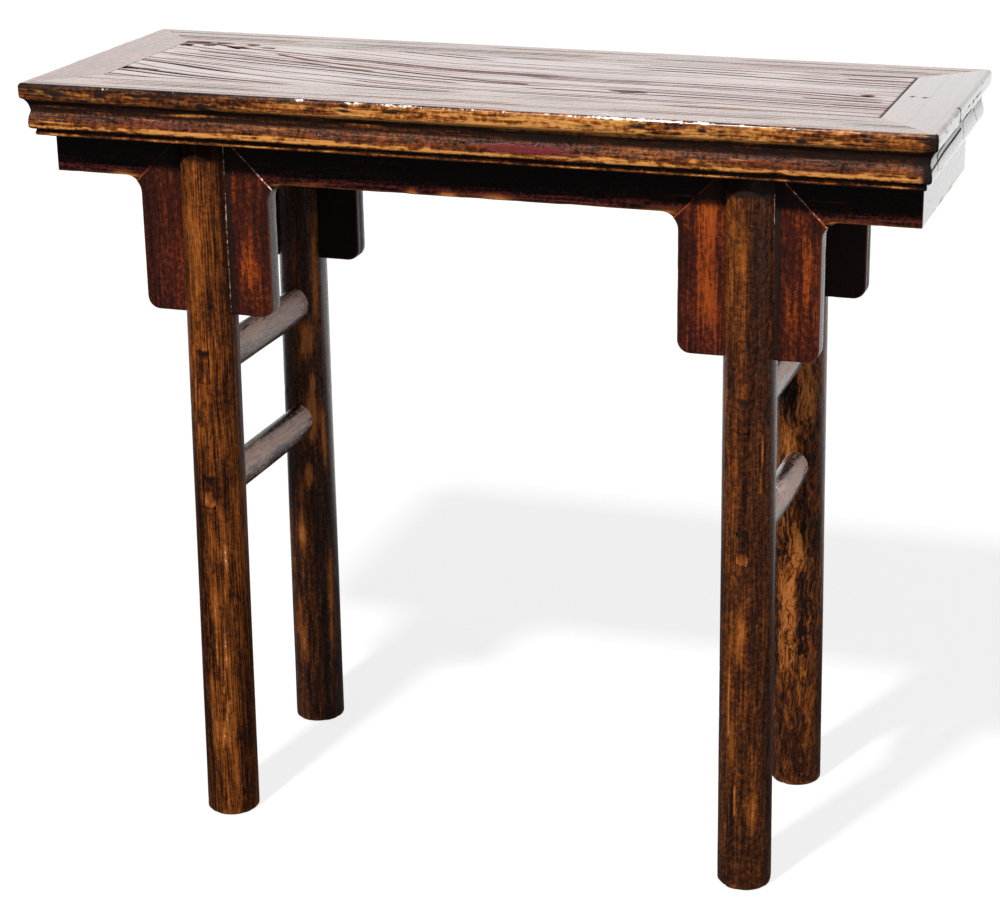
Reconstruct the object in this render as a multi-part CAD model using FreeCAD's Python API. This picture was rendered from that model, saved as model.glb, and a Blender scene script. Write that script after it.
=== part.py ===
import FreeCAD, Part
import math
import os
from FreeCAD import Vector

# Altar table with recessed round legs, in millimetres.
# A mitred frame holds a floating panel of two boards on three dovetailed braces. The aprons pass
# through open slots in the leg tops, where the spandrels lap over them with a mitre. Two oval
# stretchers join the legs at each end with through tenons.
# +X runs along the length, -Y is the front, +Z is up, and the origin is on the floor under the
# middle of the top.

# Overall size, over the proudest line of the moulded edge
table_length = 985.0
table_width = 350.0
table_height = 850.0

# Top frame
member_width = 68.0
ledge_width = 12.0

# Moulded edge, from the top down: the height of each member, and how far its line stands in
top_round = 5.0
band_height = 17.5
band_round = 3.0
cove_height = 14.0
cove_in = 8.5
cove_bow = 1.3
swell_height = 13.5
swell_top_in = 7.0
swell_low_in = 5.8
swell_bow = 0.9
turn_height = 5.5
turn_in = 8.5
turn_bow = 1.1
quirk_height = 2.5
quirk_in = 12.0
bead_height = 6.0
bead_low_in = 12.5
bead_bow = 1.7

# Through tenons of the long rails in the end rails
corner_tenon_in = 26.0
corner_tenon_width = 46.0
corner_tenon_drop = 20.0
corner_tenon_height = 18.0

# Panel
panel_thickness = 15.0
panel_tongue_thickness = 8.0
panel_tongue_length = 8.0
panel_float = 1.0
panel_edge_gap = 0.3
panel_split_y = 20.0
board_tongue_thickness = 5.0
board_tongue_length = 5.0
board_tongue_drop = 3.5

# Braces under the panel, the outer ones that far inwards from the legs' middles
brace_count = 3
brace_from_leg = 72.0
brace_width = 38.0
brace_height = 30.0
dovetail_depth = 4.5
dovetail_neck = 22.0
dovetail_head = 28.0
brace_tenon_width = 24.0
brace_tenon_height = 16.0
brace_tenon_length = 15.0

# Legs: how far in their middles stand under the frame, and how far they splay down to the floor
leg_from_end = 192.5
leg_from_edge = 51.0
leg_splay_along = 6.5
leg_splay_across = 7.0
leg_foot_radius = 30.0
leg_top_radius = 28.0
foot_round = 3.0
leg_tenon_width = 22.0
leg_tenon_thickness = 9.5
leg_tenon_length = 26.0
leg_tenon_shoulder = 2.0

# Aprons
apron_height = 44.0
apron_thickness = 20.0
apron_end_in = 18.5
apron_tongue_thickness = 6.0
apron_tongue_height = 5.0
apron_tongue_stop = 10.0

# Spandrels
spandrel_height = 191.5
spandrel_reach = 74.5
spandrel_proud = 1.5
spandrel_lap = 10.0
spandrel_inner_round = 18.0
spandrel_toe_round = 14.0

# Stretchers: the upper one hangs that far below the spandrels, and the lower one below its middle
stretcher_height = 44.0
stretcher_width = 30.0
stretcher_drop = 34.5
stretcher_spacing = 145.0
stretcher_tenon_thickness = 13.0
stretcher_tenon_height = 38.0

# Fits
joint_clearance = 0.15
scribe_clearance = 0.1
overrun = 5.0

# Worked out from the sizes above
cove_low = band_height + cove_height
swell_low = cove_low + swell_height
turn_low = swell_low + turn_height
quirk_low = turn_low + quirk_height
frame_thickness = quirk_low + bead_height
half_length = table_length / 2
half_width = table_width / 2
frame_low = table_height - frame_thickness
panel_low = table_height - panel_thickness
member_depth = member_width + ledge_width
leg_top_x = half_length - leg_from_end
leg_top_y = half_width - leg_from_edge
leg_foot_x = leg_top_x + leg_splay_along
leg_foot_y = leg_top_y + leg_splay_across
brace_pitch = 2 * (leg_top_x - brace_from_leg) / (brace_count - 1)
apron_low = frame_low - apron_height
spandrel_low = frame_low - spandrel_height
stretcher_upper_level = spandrel_low - stretcher_drop - stretcher_height / 2
stretcher_lower_level = stretcher_upper_level - stretcher_spacing
stretcher_levels = {"lower": stretcher_lower_level, "upper": stretcher_upper_level}
slot_width = apron_thickness + spandrel_proud
slot_front = -leg_top_y - slot_width / 2
slot_back = slot_front + slot_width
apron_front = slot_front + spandrel_proud
lap_plane = apron_front + spandrel_lap
apron_end = half_length - apron_end_in
diagonal_share = 1 - math.cos(math.radians(45))


def box(x0, x1, y0, y1, z0, z1):
    """A block between two opposite corners."""
    return Part.makeBox(x1 - x0, y1 - y0, z1 - z0, Vector(x0, y0, z0))


def bowed(start, end, bow):
    """An edge from start to end whose middle stands off the chord by bow, to the right of travel."""
    chord = end.sub(start)
    if bow == 0:
        return Part.LineSegment(start, end).toShape()
    side = chord.cross(Vector(1, 0, 0)).normalize()
    middle = start.add(end).multiply(1 / 2).add(side.multiply(bow))
    return Part.Arc(start, middle, end).toShape()


def prism(corners, z0, z1):
    """An upright block over a plan of (x, y) corners."""
    wire = Part.makePolygon([Vector(x, y, z0) for x, y in corners + corners[:1]])
    return Part.Face(wire).extrude(Vector(0, 0, z1 - z0))


def plate(edges, y0, y1):
    """A board from edges drawn in the upright plane at y0, as thick as the way to y1."""
    return Part.Face(Part.Wire(edges)).extrude(Vector(0, y1 - y0, 0))


def half_turn(shape):
    """The same piece at the opposite side or end."""
    turned = shape.copy()
    turned.rotate(Vector(0, 0, 0), Vector(0, 0, 1), 180)
    return turned


def mirrored(shape, x_sign, y_sign):
    """The piece mirrored across the middle planes to the quarter that the signs give."""
    placed = shape.copy()
    if x_sign < 0:
        placed = placed.mirror(Vector(0, 0, 0), Vector(1, 0, 0))
    if y_sign < 0:
        placed = placed.mirror(Vector(0, 0, 0), Vector(0, 1, 0))
    return placed


def one_solid(shape):
    """The single solid of a boolean result, with its split faces joined."""
    clean = shape.removeSplitter()
    if len(clean.Solids) != 1:
        raise ValueError("a piece came out as %d solids" % len(clean.Solids))
    return clean.Solids[0]


def moulded_section(reach):
    """Section of a frame member whose edge faces -Y, that far from the middle."""
    groove_bottom = member_width - panel_tongue_length - panel_float
    groove_top = panel_thickness - panel_tongue_thickness
    steps = [
        (member_width, 0, 0),
        (top_round, 0, 0),
        (0, top_round, diagonal_share * top_round),
        (0, band_height - band_round, 0),
        (band_round, band_height, diagonal_share * band_round),
        (cove_in, cove_low, -cove_bow),
        (swell_top_in, cove_low, 0),
        (swell_low_in, swell_low, swell_bow),
        (turn_in, turn_low, turn_bow),
        (quirk_in, turn_low, 0),
        (quirk_in, quirk_low, 0),
        (bead_low_in, frame_thickness, bead_bow),
        (member_depth, frame_thickness, 0),
        (member_depth, panel_thickness, 0),
        (groove_bottom, panel_thickness, 0),
        (groove_bottom, groove_top, 0),
        (member_width, groove_top, 0),
        (member_width, 0, 0),
    ]
    points = [Vector(0, inset - reach, table_height - drop) for inset, drop, bow in steps]
    edges = [bowed(points[i - 1], points[i], steps[i][2]) for i in range(1, len(steps))]
    return Part.Face(Part.Wire(edges))


def mitred_bar(length, reach):
    """A frame member along X, mitred at both ends, before its joints are cut."""
    bar = moulded_section(reach).extrude(Vector(length, 0, 0))
    bar.translate(Vector(-length / 2, 0, 0))
    end = length / 2
    plan = [
        (-end, -reach),
        (end, -reach),
        (end - member_depth, member_depth - reach),
        (member_depth - end, member_depth - reach),
    ]
    return bar.common(prism(plan, frame_low - overrun, table_height + overrun))


def corner_tenon_block(extra):
    """The block that cuts the front right corner's tenon, or its mortise when it is wider."""
    inner_x = half_length - member_depth - overrun
    near_y = corner_tenon_in - half_width
    top_z = table_height - corner_tenon_drop
    return box(
        inner_x, half_length + overrun,
        near_y - extra, near_y + corner_tenon_width + extra,
        top_z - corner_tenon_height - extra, top_z + extra,
    )


def uncut_end_rail():
    """The right end rail before its mortises are cut."""
    bar = mitred_bar(table_width, half_length)
    bar.rotate(Vector(0, 0, 0), Vector(0, 0, 1), 90)
    return bar


def brace_places():
    """The braces' places along the table."""
    first = -brace_pitch * (brace_count - 1) / 2
    return [first + brace_pitch * i for i in range(brace_count)]


def brace_tenon(x, extra):
    """A brace's tenon at the front, or the block that cuts its mortise."""
    root = member_depth - half_width
    middle = panel_low - brace_height / 2
    return box(
        x - brace_tenon_width / 2 - extra, x + brace_tenon_width / 2 + extra,
        root - brace_tenon_length - extra, root,
        middle - brace_tenon_height / 2 - extra, middle + brace_tenon_height / 2 + extra,
    )


def leg_tenons(extra):
    """The two tenons on top of the front right leg, one on each cheek, or their mortises."""
    front = box(
        leg_top_x - leg_tenon_width / 2 - extra, leg_top_x + leg_tenon_width / 2 + extra,
        slot_front - leg_tenon_shoulder - leg_tenon_thickness - extra,
        slot_front - leg_tenon_shoulder + extra,
        frame_low, frame_low + leg_tenon_length + extra,
    )
    back = front.copy()
    back.translate(Vector(0, slot_width + 2 * leg_tenon_shoulder + leg_tenon_thickness, 0))
    return [front, back]


def front_tongue(extra):
    """The tongue on top of the front apron, or the block that cuts its groove."""
    middle_y = (lap_plane + slot_back) / 2
    mitre_x = half_length - (half_width + middle_y)
    end = mitre_x - apron_tongue_stop + extra
    return box(
        -end, end,
        middle_y - apron_tongue_thickness / 2 - extra, middle_y + apron_tongue_thickness / 2 + extra,
        frame_low, frame_low + apron_tongue_height + extra,
    )


def end_tongue(extra):
    """The tongue on top of the right end apron, or the block that cuts its groove."""
    middle_x = apron_end - apron_thickness / 2
    end = -apron_front - apron_thickness - apron_tongue_stop + extra
    return box(
        middle_x - apron_tongue_thickness / 2 - extra, middle_x + apron_tongue_thickness / 2 + extra,
        -end, end,
        frame_low, frame_low + apron_tongue_height + extra,
    )


def long_rail():
    """Front rail of the frame with its corner tenons, mortises and apron groove."""
    rail = mitred_bar(table_length, half_width)
    tenon = corner_tenon_block(0).common(uncut_end_rail())
    rail = rail.fuse([tenon, mirrored(tenon, -1, 1)])
    cutters = [front_tongue(joint_clearance)]
    cutters += [brace_tenon(x, joint_clearance) for x in brace_places()]
    for block in leg_tenons(joint_clearance):
        cutters += [block, mirrored(block, -1, 1)]
    return one_solid(rail.cut(cutters))


def end_rail():
    """Right rail of the frame with the long rails' tenons passing through it."""
    mortise = corner_tenon_block(joint_clearance)
    cutters = [mortise, mirrored(mortise, 1, -1), end_tongue(joint_clearance)]
    return one_solid(uncut_end_rail().cut(cutters))


def dovetail_section(x, y0, extra):
    """Section of a brace's dovetail ridge in the upright plane at y0."""
    neck = dovetail_neck / 2 + extra
    head = dovetail_head / 2 + extra
    top = panel_low + dovetail_depth + extra
    corners = [
        Vector(x - neck, y0, panel_low),
        Vector(x - head, y0, top),
        Vector(x + head, y0, top),
        Vector(x + neck, y0, panel_low),
    ]
    return Part.Face(Part.makePolygon(corners + corners[:1]))


def panel_board(y0, y1, outer_side):
    """A board of the panel between two lines, tongued on its ends and on its outer side."""
    end = half_length - member_width - panel_edge_gap
    tongue_top = panel_low + panel_tongue_thickness - joint_clearance
    board = box(-end, end, y0, y1, panel_low, table_height)
    reach = panel_tongue_length + panel_edge_gap
    near = y0 - reach if outer_side == "front" else y0
    far = y1 + reach if outer_side == "back" else y1
    skirt = box(-end - reach, end + reach, near, far, panel_low, tongue_top)
    board = board.fuse(skirt)
    slots = []
    for x in brace_places():
        section = dovetail_section(x, near - overrun, joint_clearance)
        slots.append(section.extrude(Vector(0, far - near + 2 * overrun, 0)))
    return board.cut(slots)


def board_tongue(extra):
    """The tongue that joins the two boards, or the block that cuts its groove."""
    reach = half_length - member_width + panel_tongue_length + overrun
    top = table_height - board_tongue_drop
    return box(
        -reach, reach,
        panel_split_y - board_tongue_length - extra, panel_split_y,
        top - board_tongue_thickness - extra, top + extra,
    )


def panel_front_board():
    """Wide front board with the groove of the middle joint."""
    edge = half_width - member_width - panel_edge_gap
    board = panel_board(-edge, panel_split_y, "front")
    return one_solid(board.cut(board_tongue(joint_clearance)))


def panel_back_board():
    """Back board with the tongue of the middle joint."""
    edge = half_width - member_width - panel_edge_gap
    board = panel_board(panel_split_y, edge, "back")
    full = half_length - member_width - panel_edge_gap
    inside = box(-full, full, -half_width, panel_split_y, panel_low, table_height)
    return one_solid(board.fuse(board_tongue(0).common(inside)))


def brace(x):
    """Transverse brace: a dovetail ridge up into the panel and a tenon into each long rail."""
    shoulder = half_width - member_depth
    body = box(
        x - brace_width / 2, x + brace_width / 2, -shoulder, shoulder,
        panel_low - brace_height, panel_low,
    )
    ridge_end = half_width - member_width - panel_edge_gap
    ridge = dovetail_section(x, -ridge_end, 0).extrude(Vector(0, 2 * ridge_end, 0))
    tenon = brace_tenon(x, 0)
    return one_solid(body.fuse([ridge, tenon, mirrored(tenon, 1, -1)]))


def leg_middle(z):
    """Middle of the front right leg at height z."""
    rise = z / frame_low
    x = leg_foot_x + (leg_top_x - leg_foot_x) * rise
    y = -leg_foot_y + (leg_foot_y - leg_top_y) * rise
    return Vector(x, y, z)


def leg_radius(z):
    """Radius of a leg at height z."""
    return leg_foot_radius + (leg_top_radius - leg_foot_radius) * z / frame_low


def leg_trunk(extra):
    """The front right leg as a plain leaning taper from the floor to the frame."""
    foot = leg_middle(-leg_foot_radius)
    head = leg_middle(frame_low + leg_foot_radius)
    axis = head.sub(foot)
    cone = Part.makeCone(
        leg_radius(foot.z) + extra, leg_radius(head.z) + extra, axis.Length, foot, axis,
    )
    reach = leg_foot_x + leg_foot_radius + overrun
    return cone.common(box(0, 2 * reach, -2 * reach, 2 * reach, 0, frame_low))


def stretcher_tenon(level, extra):
    """The bar that makes a stretcher's two through tenons, or the block that cuts the mortises."""
    x = leg_middle(level).x
    reach = leg_foot_y + leg_foot_radius + overrun
    return box(
        x - stretcher_tenon_thickness / 2 - extra, x + stretcher_tenon_thickness / 2 + extra,
        -reach, reach,
        level - stretcher_tenon_height / 2 - extra, level + stretcher_tenon_height / 2 + extra,
    )


def leg():
    """Front right leg: open slot, a tenon on each cheek and the stretchers' mortises."""
    trunk = leg_trunk(0)
    sole = [edge for edge in trunk.Edges if edge.BoundBox.ZMax < foot_round / 2]
    trunk = trunk.makeFillet(foot_round, sole)
    across = leg_foot_x + leg_foot_radius + overrun
    slot = box(
        0, across, slot_front - joint_clearance, slot_back + joint_clearance,
        spandrel_low, frame_low + overrun,
    )
    cutters = [slot]
    cutters += [stretcher_tenon(level, joint_clearance) for level in stretcher_levels.values()]
    return one_solid(trunk.cut(cutters).fuse(leg_tenons(0)))


def stretcher(level):
    """Oval stretcher at the right end, scribed to both legs, with its through tenons."""
    front_leg = leg_trunk(0)
    back_leg = mirrored(front_leg, 1, -1)
    middle = leg_middle(level)
    oval = Part.Ellipse(middle, stretcher_height / 2, stretcher_width / 2).toShape()
    oval.rotate(middle, Vector(1, 0, 0), 90)
    oval.rotate(middle, Vector(0, 1, 0), 90)
    body = Part.Face(Part.Wire(oval)).extrude(Vector(0, -2 * middle.y, 0))
    scribe = leg_trunk(scribe_clearance)
    body = body.cut([scribe, mirrored(scribe, 1, -1)])
    bar = stretcher_tenon(level, 0)
    inside = bar.common(box(0, table_length, middle.y, -middle.y, 0, table_height))
    ends = [bar.common(front_leg), bar.common(back_leg)]
    return one_solid(body.fuse([inside] + ends))


def spandrel_corner():
    """Where a spandrel's mitre starts on the round of the inner corner, as (reach, height)."""
    step = diagonal_share * spandrel_inner_round
    return spandrel_reach + step, apron_low - step


def corner_arc(y, start_angle, end_angle):
    """Part of the round between spandrel and apron, right of the leg, in the plane at y."""
    centre_x = leg_top_x + spandrel_reach + spandrel_inner_round
    centre_z = apron_low - spandrel_inner_round
    points = []
    for angle in (start_angle, (start_angle + end_angle) / 2, end_angle):
        turn = math.radians(angle)
        x = centre_x + spandrel_inner_round * math.cos(turn)
        z = centre_z + spandrel_inner_round * math.sin(turn)
        points.append(Vector(x, y, z))
    return Part.Arc(*points).toShape(), points[0], points[2]


def spandrel():
    """Outer spandrel of the front right leg: a wing in the slot, lapped over the apron."""
    corner_x, corner_z = spandrel_corner()
    inner = leg_top_x + joint_clearance
    edge = leg_top_x + spandrel_reach
    toe = spandrel_toe_round
    parts = []
    for y0, y1, lapped in ((slot_front, lap_plane, True), (lap_plane, slot_back, False)):
        arc, arc_low, arc_high = corner_arc(y0, 180, 135)
        if lapped:
            mitre_x = leg_top_x + corner_x - (frame_low - corner_z)
            head = [Vector(mitre_x, y0, frame_low), Vector(inner, y0, frame_low)]
        else:
            head = [Vector(arc_high.x, y0, apron_low), Vector(inner, y0, apron_low)]
        toe_in = Vector(edge - toe, y0, spandrel_low)
        toe_up = Vector(edge, y0, spandrel_low + toe)
        turn = diagonal_share * toe
        toe_middle = Vector(edge - turn, y0, spandrel_low + turn)
        low = Vector(inner, y0, spandrel_low)
        edges = [
            Part.LineSegment(low, toe_in).toShape(),
            Part.Arc(toe_in, toe_middle, toe_up).toShape(),
            Part.LineSegment(toe_up, arc_low).toShape(),
            arc,
            Part.LineSegment(arc_high, head[0]).toShape(),
            Part.LineSegment(head[0], head[1]).toShape(),
            Part.LineSegment(head[1], low).toShape(),
        ]
        parts.append(plate(edges, y0, y1))
    return one_solid(parts[0].fuse(parts[1]))


def across_leg(shape):
    """The piece mirrored to the other side of the front right leg."""
    return shape.mirror(Vector(leg_top_x, 0, 0), Vector(1, 0, 0))


def front_apron():
    """Front apron: whole behind, and cut back in front where the spandrels lap over it."""
    corner_x, corner_z = spandrel_corner()
    board = box(-apron_end, apron_end, apron_front, slot_back, apron_low, frame_low)
    arc, arc_low, arc_high = corner_arc(apron_front, 135, 90)
    shoulder = Vector(arc_low.x, apron_front, arc_high.z)
    edges = [
        arc,
        Part.LineSegment(arc_high, shoulder).toShape(),
        Part.LineSegment(shoulder, arc_low).toShape(),
    ]
    dip = plate(edges, apron_front, slot_back)
    mitre_reach = corner_x - (frame_low - corner_z)
    lap = [
        Vector(leg_top_x - corner_x, apron_front, corner_z),
        Vector(leg_top_x - mitre_reach, apron_front, frame_low),
        Vector(leg_top_x + mitre_reach, apron_front, frame_low),
        Vector(leg_top_x + corner_x, apron_front, corner_z),
    ]
    recess = Part.Face(Part.makePolygon(lap + lap[:1])).extrude(Vector(0, spandrel_lap, 0))
    corner_fill = [
        Vector(arc_low.x, apron_front, arc_low.z),
        shoulder,
        Vector(arc_low.x - (shoulder.z - arc_low.z), apron_front, shoulder.z),
    ]
    fill = Part.Face(Part.makePolygon(corner_fill + corner_fill[:1])).extrude(Vector(0, spandrel_lap, 0))
    additions = [front_tongue(0)]
    recesses = [recess, mirrored(recess, -1, 1)]
    for piece in (dip, fill, across_leg(dip), across_leg(fill)):
        additions += [piece, mirrored(piece, -1, 1)]
    plan = [
        (-apron_end, apron_front),
        (apron_end, apron_front),
        (apron_end - apron_thickness, slot_back),
        (apron_thickness - apron_end, slot_back),
    ]
    apron = board.fuse(additions).cut(recesses)
    return one_solid(apron.common(prism(plan, spandrel_low, table_height)))


def end_apron():
    """Right end apron, mitred to the front and back aprons."""
    inner = apron_end - apron_thickness
    plan = [
        (apron_end, apron_front),
        (apron_end, -apron_front),
        (inner, -apron_front - apron_thickness),
        (inner, apron_front + apron_thickness),
    ]
    return one_solid(prism(plan, apron_low, frame_low).fuse(end_tongue(0)))


def build():
    """Every piece by its name."""
    pieces = {}
    front_rail = long_rail()
    right_rail = end_rail()
    pieces["front_long_rail"] = front_rail
    pieces["back_long_rail"] = half_turn(front_rail)
    pieces["right_end_rail"] = right_rail
    pieces["left_end_rail"] = half_turn(right_rail)
    pieces["panel_front_board"] = panel_front_board()
    pieces["panel_back_board"] = panel_back_board()
    for number, x in enumerate(brace_places(), 1):
        pieces["transverse_brace_%d" % number] = brace(x)
    apron = front_apron()
    side = end_apron()
    pieces["front_apron"] = apron
    pieces["back_apron"] = half_turn(apron)
    pieces["right_end_apron"] = side
    pieces["left_end_apron"] = half_turn(side)
    upright = leg()
    outer_wing = spandrel()
    inner_wing = across_leg(outer_wing)
    for row, y_sign in (("front", 1), ("back", -1)):
        for column, x_sign in (("left", -1), ("right", 1)):
            place = "%s_%s" % (row, column)
            pieces["leg_" + place] = mirrored(upright, x_sign, y_sign)
            pieces["spandrel_outer_" + place] = mirrored(outer_wing, x_sign, y_sign)
            pieces["spandrel_inner_" + place] = mirrored(inner_wing, x_sign, y_sign)
    for name, level in stretcher_levels.items():
        rung = stretcher(level)
        pieces["stretcher_%s_right" % name] = rung
        pieces["stretcher_%s_left" % name] = mirrored(rung, -1, 1)
    return pieces


os.makedirs("parts", exist_ok=True)
for name, shape in build().items():
    shape.exportStep("parts/%s.step" % name)
    print("%-28s %9.1f mm3  valid %s" % (name, shape.Volume, shape.isValid()))
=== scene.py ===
"""Altar table with a moulded frame and recessed round legs: the worn, lacquered look of each piece."""

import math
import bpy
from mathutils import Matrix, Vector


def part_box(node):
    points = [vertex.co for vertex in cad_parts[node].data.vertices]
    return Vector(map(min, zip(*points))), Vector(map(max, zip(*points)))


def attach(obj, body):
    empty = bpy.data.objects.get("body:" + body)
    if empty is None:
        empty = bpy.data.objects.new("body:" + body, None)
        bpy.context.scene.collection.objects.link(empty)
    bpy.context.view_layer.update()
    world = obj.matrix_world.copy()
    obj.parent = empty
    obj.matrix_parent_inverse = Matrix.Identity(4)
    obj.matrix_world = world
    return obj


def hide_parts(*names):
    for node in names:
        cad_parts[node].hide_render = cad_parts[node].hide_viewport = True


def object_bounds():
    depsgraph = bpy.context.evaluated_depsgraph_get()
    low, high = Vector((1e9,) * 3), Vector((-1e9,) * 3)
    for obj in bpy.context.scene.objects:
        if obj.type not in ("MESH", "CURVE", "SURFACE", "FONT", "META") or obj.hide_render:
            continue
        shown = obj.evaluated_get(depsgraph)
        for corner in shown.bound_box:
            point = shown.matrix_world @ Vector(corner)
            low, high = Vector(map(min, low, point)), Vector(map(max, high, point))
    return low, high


bl_info = {
    "name": "Altar Table",
    "version": (1, 0, 0),
    "blender": (4, 5, 0),
    "location": "3D View > Sidebar > Altar Table",
    "description": "Builds the worn pieces of a lacquered altar table around its fixed frame",
    "category": "Add Mesh",
}

import bmesh
import bpy
import numpy as np
from bpy.props import FloatProperty, FloatVectorProperty, PointerProperty
from mathutils import Matrix

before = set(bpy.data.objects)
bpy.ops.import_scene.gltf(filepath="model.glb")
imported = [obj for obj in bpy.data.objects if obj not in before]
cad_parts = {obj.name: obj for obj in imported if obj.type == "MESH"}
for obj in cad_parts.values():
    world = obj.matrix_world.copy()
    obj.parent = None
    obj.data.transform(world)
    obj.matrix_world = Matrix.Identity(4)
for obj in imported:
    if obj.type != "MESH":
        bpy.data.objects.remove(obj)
CAD_LOW, CAD_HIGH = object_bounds()

MM = 0.001
# Share of a radius that a rounded corner takes off along its diagonal
ROUND_SHARE = 1 - math.sqrt(0.5)
# How far the braces' dovetails reach up into the panel
DOVETAIL = 0.0045

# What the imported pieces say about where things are
HALF_LENGTH = CAD_HIGH.x
HALF_WIDTH = CAD_HIGH.y
TOP = CAD_HIGH.z
FRAME_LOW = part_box("right_end_rail")[0].z
RAIL_DEPTH = HALF_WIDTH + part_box("front_long_rail")[1].y
PANEL_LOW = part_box("transverse_brace_1")[1].z - DOVETAIL
PANEL_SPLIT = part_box("panel_front_board")[1].y
LEG_LOW, LEG_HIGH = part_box("leg_front_right")
WING_LOW, WING_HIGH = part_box("spandrel_outer_front_right")
INNER_WING_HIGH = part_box("spandrel_inner_front_right")[1]
APRON_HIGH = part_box("front_apron")[1]
STRETCHER_LOW, STRETCHER_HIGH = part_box("stretcher_lower_right")
UPPER_STRETCHER_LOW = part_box("stretcher_upper_right")[0].z


def length(name, default, description):
    """A length in metres that the sidebar shows."""
    return FloatProperty(
        name=name, description=description, default=default, min=0, unit="LENGTH", precision=4,
    )


def amount(name, default, description, top=1.0):
    """A plain factor that the sidebar shows."""
    return FloatProperty(name=name, description=description, default=default, min=0, max=top)


def power(name, default, description):
    """A lamp's power that the sidebar shows."""
    return FloatProperty(name=name, description=description, default=default, min=0, unit="POWER")


def colour(name, default, description):
    """A linear colour that the sidebar shows."""
    return FloatVectorProperty(
        name=name, description=description, default=default, min=0, max=1, size=3, subtype="COLOR",
    )


class EdgeSizes(bpy.types.PropertyGroup):
    """The moulded edge of the frame, from the top down."""

    member_width: length("Member width", 0.068, "Width of a frame member's top face")
    top_round: length("Top round", 0.0028, "Radius of the arris between top and edge")
    band_height: length("Band height", 0.0175, "Height of the flat band under the top")
    band_round: length("Band round", 0.003, "Radius of the band's lower arris")
    cove_height: length("Cove height", 0.014, "Height of the hollow under the band")
    cove_in: length("Cove inset", 0.0085, "How far in the foot of the hollow stands")
    cove_bow: length("Cove bow", 0.0013, "How hollow the cove is")
    swell_height: length("Swell height", 0.0153, "Height of the leaning face under the cove")
    swell_low_in: length("Swell crest inset", 0.0058, "How far in its crest stands")
    swell_bow: length("Swell bow", 0.0009, "How full the swell is")
    turn_height: length("Turn height", 0.0037, "Height of the round under the crest")
    turn_in: length("Turn inset", 0.0085, "How far in the round ends")
    turn_bow: length("Turn bow", 0.0011, "How full the round is")
    quirk_height: length("Groove height", 0.0025, "Height of the narrow groove")
    quirk_in: length("Groove inset", 0.012, "How far in the groove's bottom lies")
    bead_low_in: length("Bead inset", 0.0125, "How far in the lowest edge of the bead stands")
    bead_bow: length("Bead bow", 0.0017, "How full the bead is")
    tongue_thickness: length("Tongue thickness", 0.008, "Thickness of the panel's tongue")
    tongue_length: length("Tongue length", 0.008, "How far the panel's tongue reaches in")
    corner_round: length("Worn corner", 0.003, "Radius that wear has given the frame's corners")
    wear_depth: length("Edge wear", 0.0007, "How deep wear has cut into the arrises")


class PanelSizes(bpy.types.PropertyGroup):
    """The floating panel and the weathered grain on it."""

    edge_gap: length("Edge gap", 0.0002, "Gap between the panel and the frame")
    grain_spacing: length("Grain spacing", 0.0085, "Distance between the open grain lines")
    grain_depth: length("Grain depth", 0.0009, "Depth of the deepest grain lines")
    crack_depth: length("Crack depth", 0.0016, "Depth of the long cracks")


class LegSizes(bpy.types.PropertyGroup):
    """A leg, and how uneven its surface is."""

    foot_radius: length("Foot radius", 0.030, "Radius of a leg at the floor")
    top_radius: length("Top radius", 0.028, "Radius of a leg under the frame")
    foot_round: length("Foot round", 0.003, "Radius of the worn edge of the sole")
    facet_depth: length("Facet depth", 0.0005, "Depth of the flats that the plane left")
    grain_depth: length("Grain depth", 0.00025, "Depth of the open grain")


class WingSizes(bpy.types.PropertyGroup):
    """Aprons and spandrels."""

    proud: length("Spandrel proud", 0.0015, "How far a spandrel stands out from the apron")
    lap: length("Lap", 0.010, "Thickness of the part that laps over the apron")
    inner_round: length("Inner round", 0.018, "Radius between spandrel and apron")
    toe_round: length("Toe round", 0.014, "Radius at the spandrel's lower corner")
    edge_round: length("Edge round", 0.0016, "Radius of the worn edges")
    apron_thickness: length("Apron thickness", 0.020, "Thickness of the aprons")
    apron_height: length("Apron height", 0.044, "Height of the aprons")


class StretcherSizes(bpy.types.PropertyGroup):
    """The oval bars between the legs, and their through tenons."""

    width: length("Width", 0.030, "Width of the oval")
    height: length("Height", 0.044, "Height of the oval")
    tenon_thickness: length("Tenon thickness", 0.013, "Thickness of the through tenon")
    tenon_height: length("Tenon height", 0.038, "Height of the through tenon")
    shadow_gap: length("Shadow gap", 0.00035, "Gap round a tenon's end in the leg")


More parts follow.
